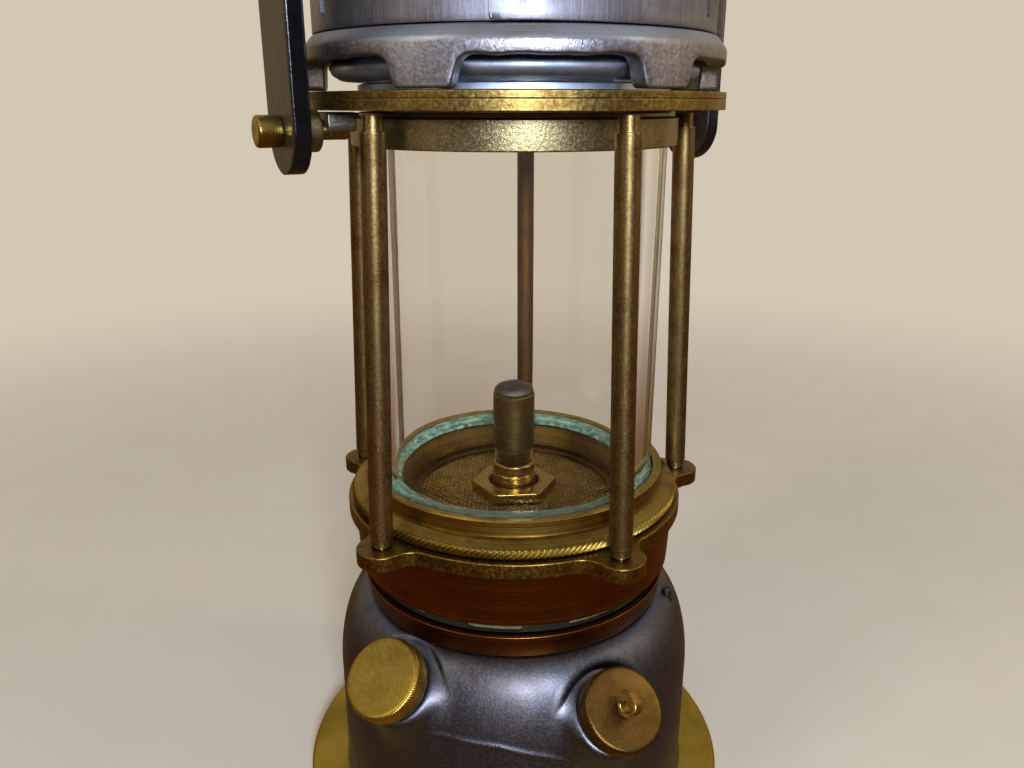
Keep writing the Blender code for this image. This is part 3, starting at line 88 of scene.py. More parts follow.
def marks_vector(tree, place, kind):
    """Coordinates that stretch a noise into tool marks: rings of a lathe, or lines along one axis."""
    if kind == "turned":
        split = add(tree, "SeparateXYZ", {0: place})
        level = add(tree, "CombineXYZ", {0: split.outputs[0], 1: split.outputs[1]})
        reach = add(tree, "VectorMath", {0: level.outputs[0]}, operation="LENGTH")
        return add(tree, "CombineXYZ", {0: reach.outputs["Value"], 1: split.outputs[2]}).outputs[0]
    stretch = {"drawn": (1.0, 1.0, 0.025), "brushed": (1.0, 0.03, 1.0), "even": (1.0, 1.0, 1.0)}[kind]
    return add(tree, "Mapping", {"Vector": place, "Scale": stretch}).outputs[0]


def metal(name, light, body, stain, cloud=0.009, marks=("turned", 0.00025), mark_depth=0.000012,
          roughness=(0.26, 0.42), pit=0.0006, pit_depth=0.00002, tarnish=(0.42, 0.66), edge_wear_and_sheen=0.5,
          specked=0.35, streak=0.55):
    """A worked metal: plain colour, tarnish clouds, tool marks, small pits, lighter edges (wear, and if
    strong a painted highlight).

    Cloud, the second of marks, and pit are the real widths of a cloud, a tool mark and a pit. Lathe and
    rolling marks are about 0.1 mm apart on the real metal and are drawn two to three times as coarse to show.
    """
    finish, tree, shader, place = begin(name)
    clouds = add(tree, "TexNoise", {"Vector": place, "Scale": 1.0 / cloud, "Detail": 7.0, "Roughness": 0.62})
    stained = add(tree, "ValToRGB", {0: clouds.outputs[0]}, [(tarnish[0], 0.0), (tarnish[1], 1.0)])
    drawn = add(tree, "TexNoise", {"Vector": marks_vector(tree, place, marks[0]), "Scale": 1.0 / marks[1],
                                   "Detail": 3.0, "Roughness": 0.7})
    specks = add(tree, "TexNoise", {"Vector": place, "Scale": 1.0 / pit, "Detail": 4.0, "Roughness": 0.75})
    speckled = add(tree, "ValToRGB", {0: specks.outputs[0]}, [(0.36, 0.0), (0.64, 1.0)])
    line_share = add(tree, "MapRange", {0: drawn.outputs[0], 1: 0.45, 2: 0.75, 3: 0.0, 4: streak})
    speck_share = add(tree, "MapRange", {0: speckled.outputs[0], 1: 0.0, 2: 1.0, 3: specked, 4: 0.0})
    # Lighter edges, mixed in below: rubbed wear, and where the share is strong a painted highlight
    rounded = add(tree, "Bevel", {"Radius": 0.0005}, samples=4)
    surface = add(tree, "NewGeometry")
    alike = add(tree, "VectorMath", {0: rounded.outputs[0], 1: surface.outputs["Normal"]},
                operation="DOT_PRODUCT")
    edge = add(tree, "MapRange", {0: alike.outputs["Value"], 1: 0.88, 2: 0.99, 3: edge_wear_and_sheen, 4: 0.0})
    rubbed = add(tree, "Math", {0: edge.outputs[0], 1: speckled.outputs[0]}, operation="MULTIPLY")
    colour = linear(body)
    for share, tint in ((stained, stain), (line_share, light), (speck_share, stain), (rubbed, light)):
        colour = add(tree, "Mix", {SHARE: share.outputs[0], FIRST: colour, SECOND: linear(tint)},
                     data_type="RGBA").outputs[MIXED]
    tree.links.new(colour, shader.inputs["Base Color"])
    shader.inputs["Metallic"].default_value = 1.0
    dulled = add(tree, "MapRange", {0: clouds.outputs[0], 1: 0.35, 2: 0.7, 3: roughness[0], 4: roughness[1]})
    grained = add(tree, "MapRange", {0: drawn.outputs[0], 1: 0.3, 2: 0.7, 3: -0.05, 4: 0.07})
    total = add(tree, "Math", {0: dulled.outputs[0], 1: grained.outputs[0]}, operation="ADD")
    tree.links.new(total.outputs[0], shader.inputs["Roughness"])
    pits = add(tree, "Bump", {"Strength": 1.0, "Distance": pit_depth, "Height": specks.outputs[0]})
    lines = add(tree, "Bump", {"Strength": 1.0, "Distance": mark_depth, "Height": drawn.outputs[0],
                               "Normal": pits.outputs[0]})
    tree.links.new(lines.outputs[0], shader.inputs["Normal"])
    return finish


# Brass of the seat and spacers: aged gold with brown clouds and lathe rings
TURNED_BRASS = metal("turned_brass_aged", "#D2B455", "#9C7F36", "#61491E", mark_depth=0.000006,
                     roughness=(0.28, 0.42))
# Ring plates: olive gold, fine mottle that breaks the highlight into sparks
RING_BRASS = metal("ring_brass_mottled", "#D8C278", "#9A8144", "#684F22", marks=("even", 0.0006),
                   mark_depth=0.00003, roughness=(0.3, 0.44))
# Collar over the glass: paler, hammered skin
COLLAR_BRASS = metal("collar_brass_hammered", "#DAD4AE", "#9C9066", "#776A46", marks=("even", 0.0005),
                     mark_depth=0.00005, roughness=(0.3, 0.42), specked=0.2)
# Pillars: rod gone olive grey with brown clouds, satin grain
PILLAR_BRASS = metal("rod_brass_satin", "#BFAD78", "#8C794A", "#573E1D", marks=("even", 0.00035),
                     mark_depth=0.00002, roughness=(0.33, 0.45), cloud=0.006)
# Rear pillar: the same rod darkened to a red brown, painted shade on the pillar at the back
REAR_PILLAR_PAINTED_SHADE = metal("rod_brass_browned", "#8E6B3C", "#674722", "#3C2610", marks=("even", 0.00035),
                       mark_depth=0.00002, roughness=(0.33, 0.45), cloud=0.006)
# Inside of the seat and rim of the gauze: brass darkened to brown, painted shade of the recess under the
# glass
RECESS_PAINTED_SHADE = metal("turned_brass_painted_shade_recess", "#9A7D3C", "#5C4620", "#33240E", mark_depth=0.000006,
                     roughness=(0.3, 0.44))
# Eared plate: cast brass, dark olive brown with rubbed gold edges
PLATE_BRASS = metal("plate_brass_cast", "#C4A24E", "#86692C", "#503A17", marks=("even", 0.0007),
                    mark_depth=0.00003, roughness=(0.3, 0.44))
# Barrel and screwed collar: handled brass tarnished to a deep orange brown, partly a painted reflection of a
# warm wooden table below
BARREL_BRASS = metal("turned_brass_browned_painted_reflection", "#B5762F", "#88521C", "#583010", roughness=(0.24, 0.38),
                     tarnish=(0.4, 0.7))
# Foot: dull yellow-green satin brass
FOOT_BRASS = metal("foot_brass_satin", "#DDB946", "#BC9C3A", "#917727", cloud=0.016, roughness=(0.42, 0.55))
# Burner nut and sleeve, pins and screws: brighter brass turned smooth, a little brown
BURNER_BRASS = metal("burner_brass_bright", "#CEB25F", "#9F8441", "#6C5628", cloud=0.009,
                     marks=("turned", 0.00018), roughness=(0.2, 0.32), pit=0.0004, tarnish=(0.5, 0.85),
                     specked=0.2)
# Wick tube: olive brown
TUBE_BRASS = metal("tube_brass_olive", "#A3935A", "#766738", "#4C3D1E", cloud=0.007,
                   marks=("turned", 0.00018), roughness=(0.24, 0.36), pit=0.0004, specked=0.2)
# Inside of the burner's tower: brass painted dark, painted shade under the gauze so its gaps look dark
TOWER_PAINTED_SHADE = metal("brass_painted_shade_under_gauze", "#5A4728", "#38290F", "#1F1709", roughness=(0.45, 0.6))
# Left filler cap: satin gold face with straight fine scratches, its edges strongly lightened: rubbed wear and
# a painted highlight on the rim
CAP_BRASS = metal("cap_brass_brushed", "#F0CE66", "#B2923C", "#8E722D", cloud=0.012,
                  marks=("brushed", 0.0003), mark_depth=0.00001, roughness=(0.3, 0.4), pit=0.0004,
                  edge_wear_and_sheen=0.9, specked=0.1, streak=0.3)
# Right filler cap: the same brass handled to brown
CAP_BROWNED = metal("cap_brass_browned", "#B08C42", "#73582B", "#553D1B", cloud=0.012,
                    marks=("brushed", 0.0003), mark_depth=0.00001, roughness=(0.32, 0.42), pit=0.0004,
                    specked=0.15, streak=0.3)
# Curled eye: rubbed bright gold
EYE_BRASS = metal("eye_brass_rubbed", "#F2D88C", "#D2AC54", "#8E6D2C", cloud=0.003,
                  marks=("even", 0.0003), roughness=(0.24, 0.36), pit=0.0003, specked=0.15)
# Vessel: die-cast aluminium gone mauve grey, faint grain and stains
CAST_ALUMINIUM = metal("aluminium_cast_aged", "#A0A6B2", "#64666D", "#493D36", cloud=0.014,
                       marks=("even", 0.0005), mark_depth=0.000016, roughness=(0.36, 0.49), pit=0.00045,
                       pit_depth=0.00003, tarnish=(0.45, 0.75), edge_wear_and_sheen=0.15, specked=0.25,
                       streak=0.3)
# Bonnet base below its slope: paler casting with a sand grain that sparkles
SAND_CAST = metal("aluminium_sand_cast", "#D0D3DC", "#A3A6B2", "#857F7C", cloud=0.016,
                  marks=("even", 0.0007), mark_depth=0.00006, roughness=(0.32, 0.44), pit=0.0006,
                  pit_depth=0.00004, edge_wear_and_sheen=0.2, specked=0.12)
# Bonnet base's slope: machined smooth and bright
TURNED_ALUMINIUM = metal("aluminium_turned_satin", "#D8DAE0", "#AEB1BA", "#8C8884", cloud=0.016,
                         marks=("turned", 0.0003), roughness=(0.34, 0.44), pit_depth=0.00001, edge_wear_and_sheen=0.2,
                         specked=0.1)
# Bonnet shell and top: rolled sheet with fine upright grain
SHEET_ALUMINIUM = metal("aluminium_sheet_brushed", "#C2C6D2", "#979AA5", "#6C6A70", cloud=0.012,
                        marks=("drawn", 0.00022), roughness=(0.4, 0.52), pit=0.0005, specked=0.2)
# Deflector: polished aluminium that mirrors its surroundings, tinted blue as a painted reflection of bluish
# light
POLISHED_ALUMINIUM = metal("aluminium_polished", "#EAF2FF", "#D2E2FF", "#A6B6D2", cloud=0.006,
                           marks=("turned", 0.0002), roughness=(0.4, 0.54), pit=0.0005, specked=0.1)
# Pivot brackets: grey zinc wash worn to brown at the edges
ZINC_WASH = metal("zinc_wash_dull", "#CDD0C8", "#A2A69C", "#77705A", marks=("even", 0.0006),
                  mark_depth=0.00004, roughness=(0.36, 0.5))
# Wick holder and shoulder pin: burnt grey steel
BURNT_STEEL = metal("steel_burnt", "#87817A", "#5A5450", "#2C2622", cloud=0.0022, marks=("even", 0.0004),
                    roughness=(0.4, 0.6), pit=0.0003, pit_depth=0.00005)
# Woven wires: bronze with gold glints over brown
GAUZE_BRONZE = metal("bronze_wire", "#F0CE76", "#B4924A", "#4E3A1C", cloud=0.004, marks=("even", 0.0003),
                     roughness=(0.28, 0.4), pit=0.0003)


def coated(name, base, second, roughness, cloud, speck, bump=0.00002, coat=0.0):
    """A non-metal in two colours by clouds, with specks, uneven gloss and a fine bump."""
    finish, tree, shader, place = begin(name)
    clouds = add(tree, "TexNoise", {"Vector": place, "Scale": 1.0 / cloud, "Detail": 6.0, "Roughness": 0.6})
    share = add(tree, "ValToRGB", {0: clouds.outputs[0]}, [(0.4, 0.0), (0.66, 1.0)])
    specks = add(tree, "TexNoise", {"Vector": place, "Scale": 1.0 / speck, "Detail": 4.0, "Roughness": 0.7})
    colour = add(tree, "Mix", {SHARE: share.outputs[0], FIRST: linear(base), SECOND: linear(second)},
                 data_type="RGBA")
    tree.links.new(colour.outputs[MIXED], shader.inputs["Base Color"])
    uneven = add(tree, "MapRange", {0: specks.outputs[0], 1: 0.3, 2: 0.7, 3: roughness[0], 4: roughness[1]})
    tree.links.new(uneven.outputs[0], shader.inputs["Roughness"])
    raised = add(tree, "Bump", {"Strength": 1.0, "Distance": bump, "Height": specks.outputs[0]})
    tree.links.new(raised.outputs[0], shader.inputs["Normal"])
    shader.inputs["Coat Weight"].default_value = coat
    shader.inputs["Coat Roughness"].default_value = 0.06
    return finish


# Bail: thick gloss black enamel with a little dust, its wide faces rubbed to a satin grain and coloured
# brown, partly worn enamel and partly a painted reflection of a warm background
BLACK_ENAMEL = coated("enamel_black_gloss", "#07080B", "#0E0F13", (0.12, 0.24), 0.004, 0.0009,
                      bump=0.00005, coat=0.1)
tree = BLACK_ENAMEL.node_tree
shader = tree.nodes["Principled BSDF"]
coordinates = add(tree, "TexCoord")
facing = add(tree, "Math", {0: add(tree, "SeparateXYZ", {0: coordinates.outputs["Normal"]}).outputs[0]},
             operation="ABSOLUTE")
wide = add(tree, "MapRange", {0: facing.outputs[0], 1: 0.5, 2: 0.9, 3: 0.0, 4: 1.0})
# The grain of the brush is 0.385 mm wide, about twice the real one, to show
streaks = add(tree, "TexNoise", {"Vector": marks_vector(tree, coordinates.outputs["Object"], "drawn"),
                                 "Scale": 1.0 / 0.000385, "Detail": 4.0, "Roughness": 0.7})
grain = add(tree, "MapRange", {0: streaks.outputs[0], 1: 0.3, 2: 0.7, 3: 0.3, 4: 0.5})
under = shader.inputs["Roughness"].links[0].from_socket
rubbed = add(tree, "Mix", {0: wide.outputs[0], 2: under, 3: grain.outputs[0]})
tree.links.new(rubbed.outputs[0], shader.inputs["Roughness"])
# Brown on the wide faces: partly worn enamel, partly a painted reflection of a warm background
brown = add(tree, "Mix", {SHARE: streaks.outputs[0], FIRST: linear("#1B150E"), SECOND: linear("#3A3022")},
            data_type="RGBA")
under = shader.inputs["Base Color"].links[0].from_socket
colour = add(tree, "Mix", {SHARE: wide.outputs[0], FIRST: under, SECOND: brown.outputs[MIXED]},
             data_type="RGBA")
tree.links.new(colour.outputs[MIXED], shader.inputs["Base Color"])
# Air ring: oily blackened steel with a green cast
DARK_STEEL = coated("steel_blackened", "#191C11", "#0F110A", (0.4, 0.6), 0.006, 0.0005)
# Fine screen behind the air ring's slots: pale olive
AIR_SCREEN = coated("screen_pale_olive", "#6C6640", "#585230", (0.4, 0.6), 0.003, 0.0003, bump=0.00008)
# Seals and washers: dark pressed fibre
DARK_FIBRE = coated("fibre_dark", "#2B2621", "#453C33", (0.6, 0.85), 0.002, 0.0004, bump=0.00006)
# Gasket under the glass: rubber gone teal with verdigris, pale chalk and dark spots
VERDIGRIS = coated("rubber_verdigris", "#264D3E", "#80A089", (0.55, 0.8), 0.0018, 0.0005, bump=0.00005)
tree = VERDIGRIS.node_tree
place = add(tree, "TexCoord").outputs["Object"]
# Dark spots up to 2 mm wide and 3.85 mm apart, in patches 7.1 mm wide
blots = add(tree, "TexVoronoi", {"Vector": place, "Scale": 1.0 / 0.00385, "Randomness": 1.0})
spots = add(tree, "ValToRGB", {0: blots.outputs["Distance"]}, [(0.16, 1.0), (0.28, 0.0)])
where = add(tree, "TexNoise", {"Vector": place, "Scale": 1.0 / 0.0071, "Detail": 2.0})
rare = add(tree, "ValToRGB", {0: where.outputs[0]}, [(0.5, 0.0), (0.6, 1.0)])
spotted = add(tree, "Math", {0: spots.outputs[0], 1: rare.outputs[0]}, operation="MULTIPLY")
# Painted shade: darker olive on the side of the filler caps, the side that faces the front
front = add(tree, "VectorMath", {0: place, 1: (-0.5, -0.86, 0.0)}, operation="DOT_PRODUCT")
front_shade_share = add(tree, "MapRange", {0: front.outputs["Value"], 1: 0.017, 2: 0.0255, 3: 0.0, 4: 0.8})
shader = tree.nodes["Principled BSDF"]
colour = shader.inputs["Base Color"].links[0].from_socket
for share, tint in ((spotted, "#0C1C1A"), (front_shade_share, "#39402C")):
    colour = add(tree, "Mix", {SHARE: share.outputs[0], FIRST: colour, SECOND: linear(tint)},
                 data_type="RGBA").outputs[MIXED]
tree.links.new(colour, shader.inputs["Base Color"])


def lamp_glass():
    """Clear thick blown glass: smears 9 mm wide in its polish, slow waves 17 mm wide, clear shadows."""
    finish, tree, shader, place = begin("glass_lamp_clear")
    shader.inputs["Transmission Weight"].default_value = 1.0
    shader.inputs["IOR"].default_value = 1.5
    shader.inputs["Base Color"].default_value = linear("#FDFCFA")
    upright = add(tree, "Mapping", {"Vector": place, "Scale": (1.0, 1.0, 0.2)})
    smears = add(tree, "TexNoise", {"Vector": upright.outputs[0], "Scale": 1.0 / 0.0091, "Detail": 5.0,
                                    "Roughness": 0.6})
    gloss = add(tree, "MapRange", {0: smears.outputs[0], 1: 0.5, 2: 0.8, 3: 0.0, 4: 0.05})
    tree.links.new(gloss.outputs[0], shader.inputs["Roughness"])
    waves = add(tree, "TexNoise", {"Vector": place, "Scale": 1.0 / 0.0167, "Detail": 2.0})
    wavy = add(tree, "Bump", {"Strength": 1.0, "Distance": 0.000015, "Height": waves.outputs[0]})
    tree.links.new(wavy.outputs[0], shader.inputs["Normal"])
    path = add(tree, "LightPath")
    clear = add(tree, "BsdfTransparent", {"Color": linear("#FAF9F6")})
    through = add(tree, "MixShader", {0: path.outputs["Is Shadow Ray"], 1: shader.outputs[0],
                                      2: clear.outputs[0]})
    tree.links.new(through.outputs[0], tree.nodes["Material Output"].inputs["Surface"])
    return finish


LAMP_GLASS = lamp_glass()


def polar(radius, azimuth, height):
    """A point at an azimuth from the front towards the right."""
    turn = math.radians(azimuth)
    return Vector((radius * math.sin(turn), -radius * math.cos(turn), height))


def outward(azimuth, tilt, origin):
    """A frame whose Z points out at an azimuth and up by a tilt, and whose X is tangential."""
    turn, rise = math.radians(azimuth), math.radians(tilt)
    along = Vector((math.cos(rise) * math.sin(turn), -math.cos(rise) * math.cos(turn), math.sin(rise)))
    side = Vector((math.cos(turn), math.sin(turn), 0.0))
    return Matrix.Translation(origin) @ Matrix((side, along.cross(side), along)).transposed().to_4x4()


def arc(centre, radii, start, end, steps):
    """Points of an elliptic arc, its angles in degrees."""
    turns = [math.radians(start + (end - start) * step / steps) for step in range(steps + 1)]
    return [(centre[0] + radii[0] * math.cos(t), centre[1] + radii[1] * math.sin(t)) for t in turns]


def rounded(first, corner, last, steps):
    """Points of a curve that leaves one point, heads for a corner and ends at another point."""
    shares = [step / steps for step in range(steps + 1)]
    return [first * (1 - share) ** 2 + corner * 2 * share * (1 - share) + last * share ** 2
            for share in shares]


def band(low, high, steps):
    """Faces between two rings of points, given by the number of each ring's first point."""
    return [(low + at, low + (at + 1) % steps, high + (at + 1) % steps, high + at) for at in range(steps)]


def soften(outline, size=EDGE):
    """Rounds each corner of a closed outline; points on the axis and straight points stay."""
    points = [Vector(p) for p in outline]
    result = []
    for index, point in enumerate(points):
        before, after = points[index - 1], points[(index + 1) % len(points)]
        back, ahead = before - point, after - point
        if min(point.x, back.length, ahead.length) < ON_AXIS or back.angle(ahead) > 2.9:
            result.append(tuple(point))
            continue
        cut = min(size, 0.42 * back.length, 0.42 * ahead.length)
        first, last = point + back.normalized() * cut, point + ahead.normalized() * cut
        result += [tuple(spot) for spot in rounded(first, point, last, 4)]
    return result


def shade(piece, sharp=CREASE_ANGLE):
    """Smooth shading that leaves the piece's real edges crisp."""
    piece.data.shade_smooth()
    piece.data.set_sharp_from_angle(angle=sharp)
    piece.modifiers.new("even_shading", "WEIGHTED_NORMAL").keep_sharp = True


def as_piece(name, mesh, place=None, sharp=CREASE_ANGLE, merge=0.0):
    """A piece from a mesh: points nearer than merge joined, faces turned outward, shading smooth."""
    work = bmesh.new()
    work.from_mesh(mesh)
    if merge:
        bmesh.ops.remove_doubles(work, verts=work.verts, dist=merge)
    bmesh.ops.recalc_face_normals(work, faces=work.faces)
    work.to_mesh(mesh)
    work.free()
    piece = bpy.data.objects.new(name, mesh)
    bpy.context.scene.collection.objects.link(piece)
    if place is not None:
        piece.matrix_world = place
    shade(piece, sharp)
    return piece


def mesh_piece(name, vertices, faces, place=None, sharp=CREASE_ANGLE):
    """A piece from points and faces."""
    mesh = bpy.data.meshes.new(name)
    mesh.from_pydata([tuple(v) for v in vertices], [], faces)
    return as_piece(name, mesh, place, sharp)


def loft(name, rings, place=None, closed=False, sharp=CREASE_ANGLE):
    """Joins rings of points into a closed surface: end caps, or with closed the last ring to the first."""
    steps, count = len(rings[0]), len(rings)
    faces = []
    for level in range(count if closed else count - 1):
        faces += band(level * steps, (level + 1) % count * steps, steps)
    if not closed:
        faces += [tuple(range(steps)), tuple(range((count - 1) * steps, count * steps))]
    return mesh_piece(name, [point for ring in rings for point in ring], faces, place, sharp)


def lathe(name, outline, steps=FINE_STEPS, place=None, reach=None, sharp=CREASE_ANGLE):
    """Turns a closed outline of (radius, height) about Z; reach may change a radius by angle and height."""
    turns = np.arange(steps) * (math.tau / steps)
    vertices, starts = [], []
    for radius, height in outline:
        starts.append((len(vertices), radius < ON_AXIS))
        if radius < ON_AXIS:
            vertices.append((0.0, 0.0, height))
            continue
        spans = np.full(steps, radius) if reach is None else reach(turns, radius, height)
        vertices += list(zip(spans * np.cos(turns), spans * np.sin(turns), np.full(steps, height)))
    faces = []
    for (low, low_pole), (high, high_pole) in zip(starts, starts[1:] + starts[:1]):
        if low_pole and high_pole:
            continue
        if low_pole:
            faces += [(low, high + (at + 1) % steps, high + at) for at in range(steps)]
        elif high_pole:
            faces += [(low + at, low + (at + 1) % steps, high) for at in range(steps)]
        else:
            faces += band(low, high, steps)
    return mesh_piece(name, vertices, faces, place, sharp)


def plate(name, outlines, low, high, edge=EDGE, place=None):
    """A flat plate between two heights, its edges rounded; the first outline is its rim, the rest holes."""
    curve = bpy.data.curves.new(name, "CURVE")
    curve.dimensions = "2D"
    curve.fill_mode = "BOTH"
    curve.extrude = (high - low) / 2 - edge
    curve.bevel_depth = edge
    curve.bevel_resolution = 2
    curve.offset = -edge
    for outline in outlines:
        spline = curve.splines.new("POLY")
        spline.points.add(len(outline) - 1)
        spline.use_cyclic_u = True
        for point, (x, y) in zip(spline.points, outline):
            point.co = (x, y, 0.0, 1.0)
    drawn = bpy.data.objects.new(name, curve)
    bpy.context.scene.collection.objects.link(drawn)
    bpy.context.view_layer.update()
    mesh = bpy.data.meshes.new_from_object(drawn.evaluated_get(bpy.context.evaluated_depsgraph_get()))
    bpy.data.objects.remove(drawn)
    mesh.transform(Matrix.Translation((0.0, 0.0, (low + high) / 2)))
    return as_piece(name, mesh, place, merge=0.000002)


def cut_away(piece, tools):
    """Takes the tools' shapes out of a piece and removes the tools."""
    piece.modifiers.clear()
    for tool in tools:
        cut = piece.modifiers.new("cut", "BOOLEAN")
        cut.operation = "DIFFERENCE"
        cut.solver = "EXACT"
        cut.object = tool
    bpy.context.view_layer.update()
    mesh = bpy.data.meshes.new_from_object(piece.evaluated_get(bpy.context.evaluated_depsgraph_get()))
    piece.modifiers.clear()
    piece.data = mesh
    shade(piece)
    for tool in tools:
        bpy.data.objects.remove(tool)


def fit(piece, body, slot, finish, *nodes):
    """Gives a piece its finish and its place in the frame."""
    piece.data.materials.clear()
    piece.data.materials.append(finish)
    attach(piece, body)
    if nodes:
        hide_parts(*nodes)
    return piece


def keep(node, finish):
    """A CAD piece whose shape is right gets a finer finish."""
    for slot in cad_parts[node].material_slots:
        slot.material = finish


def second_finish(piece, finish, belongs):
    """Gives those faces of a piece whose centre belongs there another finish."""
    piece.data.materials.append(finish)
    for face in piece.data.polygons:
        if belongs(face.center):
            face.material_index = 1


# Foot disc with a worn rim, its underside recessed
fit(lathe("foot", soften([
    (0.0, 0.0040), (0.0485, 0.0040), (0.0493, 0.0032), (0.0493, 0.0), (0.0335, 0.0), (0.0335, 0.0014),
    (0.0, 0.0014)], 0.0005)), "vessel", "foot_brass", FOOT_BRASS, "foot_disc")

# Fuel vessel: cast body with two bosses that run into the shoulder in round fillets
VESSEL_TOP = 0.0493
VESSEL_FOOT = 0.0043
SHOULDER = 0.0310       # height where the straight wall starts to round over
SHOULDER_RADIUS = 0.0326    # the shoulder's arc has its middle on this radius
SHOULDER_ARC = (0.0078, 0.0183)
CAP_SPOTS = {"left": (-66.5, 0.0445, 0.0474), "right": (-3.8, 0.0460, 0.0439)}
CAP_TILT = 48.5         # rise of the caps' axes in degrees
CAP_SEAT = 0.0058       # from a boss's face to the face of its cap
BOSS_RADIUS = 0.0078
SPOT_RADIUS = 0.0090    # the round flat that is cut about a boss
FILLET = 0.0046
cap_places = {}
for side, (azimuth, reach, height) in CAP_SPOTS.items():
    face = outward(azimuth, CAP_TILT, polar(reach, azimuth, height))
    cap_places[side] = face @ Matrix.Translation((0.0, 0.0, -CAP_SEAT))


def post_distance(points, place, radius, draft, rim):
    """How far points lie outside a post under a boss's face, from its side and from its face.

    The post widens downward by its draft, and its rim is rounded.
    """
    local = np.array(place.inverted())
    there = points @ local[:3, :3].T + local[:3, 3]
    rise = there[:, 2]
    side = np.hypot(there[:, 0], there[:, 1]) - radius + draft * rise
    outside = np.hypot(np.maximum(side + rim, 0.0), np.maximum(rise + rim, 0.0)) - rim
    return outside + np.minimum(np.maximum(side + rim, rise + rim), 0.0), side, rise


def merge_distance(first, second, blend):
    """Two distances joined by a fillet."""
    share = np.clip(0.5 + 0.5 * (second - first) / blend, 0.0, 1.0)
    return second * (1 - share) + first * share - blend * share * (1 - share)


def vessel_mesh():
    """The cast body: each point of its outer wall is moved out along its normal to meet the bosses."""
    rows = [(0.0408, VESSEL_FOOT, 1.0, 0.0)]
    for index in range(70):
        height = 0.0048 + (SHOULDER - 0.0048) * index / 69
        flare = max(0.0, 1 - (height - VESSEL_FOOT) / 0.0035)
        rows.append((0.0404 + 0.0004 * flare, height, 1.0, 0.0))
    for x, z in arc((SHOULDER_RADIUS, SHOULDER), SHOULDER_ARC, 0.0, 90.0, 84)[1:]:
        normal = Vector(((x - SHOULDER_RADIUS) / SHOULDER_ARC[0] ** 2, (z - SHOULDER) / SHOULDER_ARC[1] ** 2))
        rows.append((x, z, *normal.normalized()))
    steps = 600
    turns = np.arange(steps) * (math.tau / steps)
    levels = []
    for radius, height, out, up in rows:
        points = np.stack([radius * np.cos(turns), radius * np.sin(turns), np.full(steps, height)], 1)
        normals = np.stack([out * np.cos(turns), out * np.sin(turns), np.full(steps, up)], 1)
        low, high = np.full(steps, -0.006), np.full(steps, 0.014)
        for _ in range(24):
            middle = (low + high) / 2
            spots = points + normals * middle[:, None]
            gap = middle.copy()
            for place in cap_places.values():
                gap = merge_distance(gap, post_distance(spots, place, BOSS_RADIUS, 0.08, 0.0006)[0], FILLET)
            for place in cap_places.values():
                _, side, rise = post_distance(spots, place, SPOT_RADIUS, 0.0, 0.0)
                gap = -merge_distance(-gap, np.maximum(side, -rise), 0.0026)
            inside = gap < 0
            low, high = np.where(inside, middle, low), np.where(inside, high, middle)
        levels.append(points + normals * ((low + high) / 2)[:, None])
    inside_wall = [(0.0322, VESSEL_TOP), (0.0314, VESSEL_TOP), (0.0312, 0.0490), (0.0312, 0.0430),
                   (0.0280, 0.0430), (0.0280, 0.0408), (0.0330, 0.0380), (0.0374, 0.0310), (0.0374, 0.0045),
                   (0.0376, VESSEL_FOOT)]
    for radius, height in inside_wall:
        levels.append(np.stack([radius * np.cos(turns), radius * np.sin(turns), np.full(steps, height)], 1))
    # A shallow casting crease runs round the front below the shoulder
    crease = [(-58.0, 0.0352), (-46.0, 0.0347), (-35.0, 0.0342), (-22.0, 0.0316), (-12.0, 0.0292)]
    for level in levels[:-len(inside_wall)]:
        azimuths = np.degrees(np.arctan2(level[:, 0], -level[:, 1]))
        line = np.interp(azimuths, [a for a, _ in crease], [z for _, z in crease])
        fade = np.clip((azimuths + 60) / 12, 0, 1) * np.clip((-12 - azimuths) / 10, 0, 1)
        ridge = 0.0003 * fade * np.exp(-((level[:, 2] - line) / 0.00055) ** 2)
        level[:, :2] *= (1 + ridge / np.hypot(level[:, 0], level[:, 1]))[:, None]
    return loft("vessel", levels, closed=True)


vessel = vessel_mesh()
tools = [lathe("filler_bore", [(0.0, -0.012), (0.0055, -0.012), (0.0055, 0.0004), (0.0, 0.0004)], 64, place)
         for place in cap_places.values()]
tools.append(lathe("mouth", [(0.0, 0.0300), (0.0279, 0.0300), (0.0279, 0.0431), (0.0311, 0.0431),
                             (0.0311, 0.0520), (0.0, 0.0520)], FINE_STEPS))
pin_foot = polar(0.0354, 46.0, 0.0457)
tools.append(lathe("pin_hole", [(0.0, 0.0), (0.0013, 0.0), (0.0013, 0.006), (0.0, 0.006)], 32,
                   Matrix.Translation(pin_foot)))
cut_away(vessel, tools)
fit(vessel, "vessel", "cast_aluminium", CAST_ALUMINIUM, "fuel_vessel")
fit(lathe("shoulder_pin", soften([(0.0, 0.0041), (0.0010, 0.0041), (0.0010, 0.0003), (0.0, 0.0003)], 0.0003),
          TINY_STEPS, Matrix.Translation(pin_foot)), "vessel", "steel", BURNT_STEEL, "lock_pin")

# Filler caps: fine straight knurl on the side, rounded rim, plain brushed face
CAP_TEETH = 104


def cap_reach(turns, radius, height):
    """Teeth of the straight knurl on the cap's side."""
    if radius < 0.0079 or not 0.0003 < height < 0.0042:
        return np.full(len(turns), radius)
    return radius - 0.00013 * (0.5 + 0.5 * np.cos(CAP_TEETH * turns))


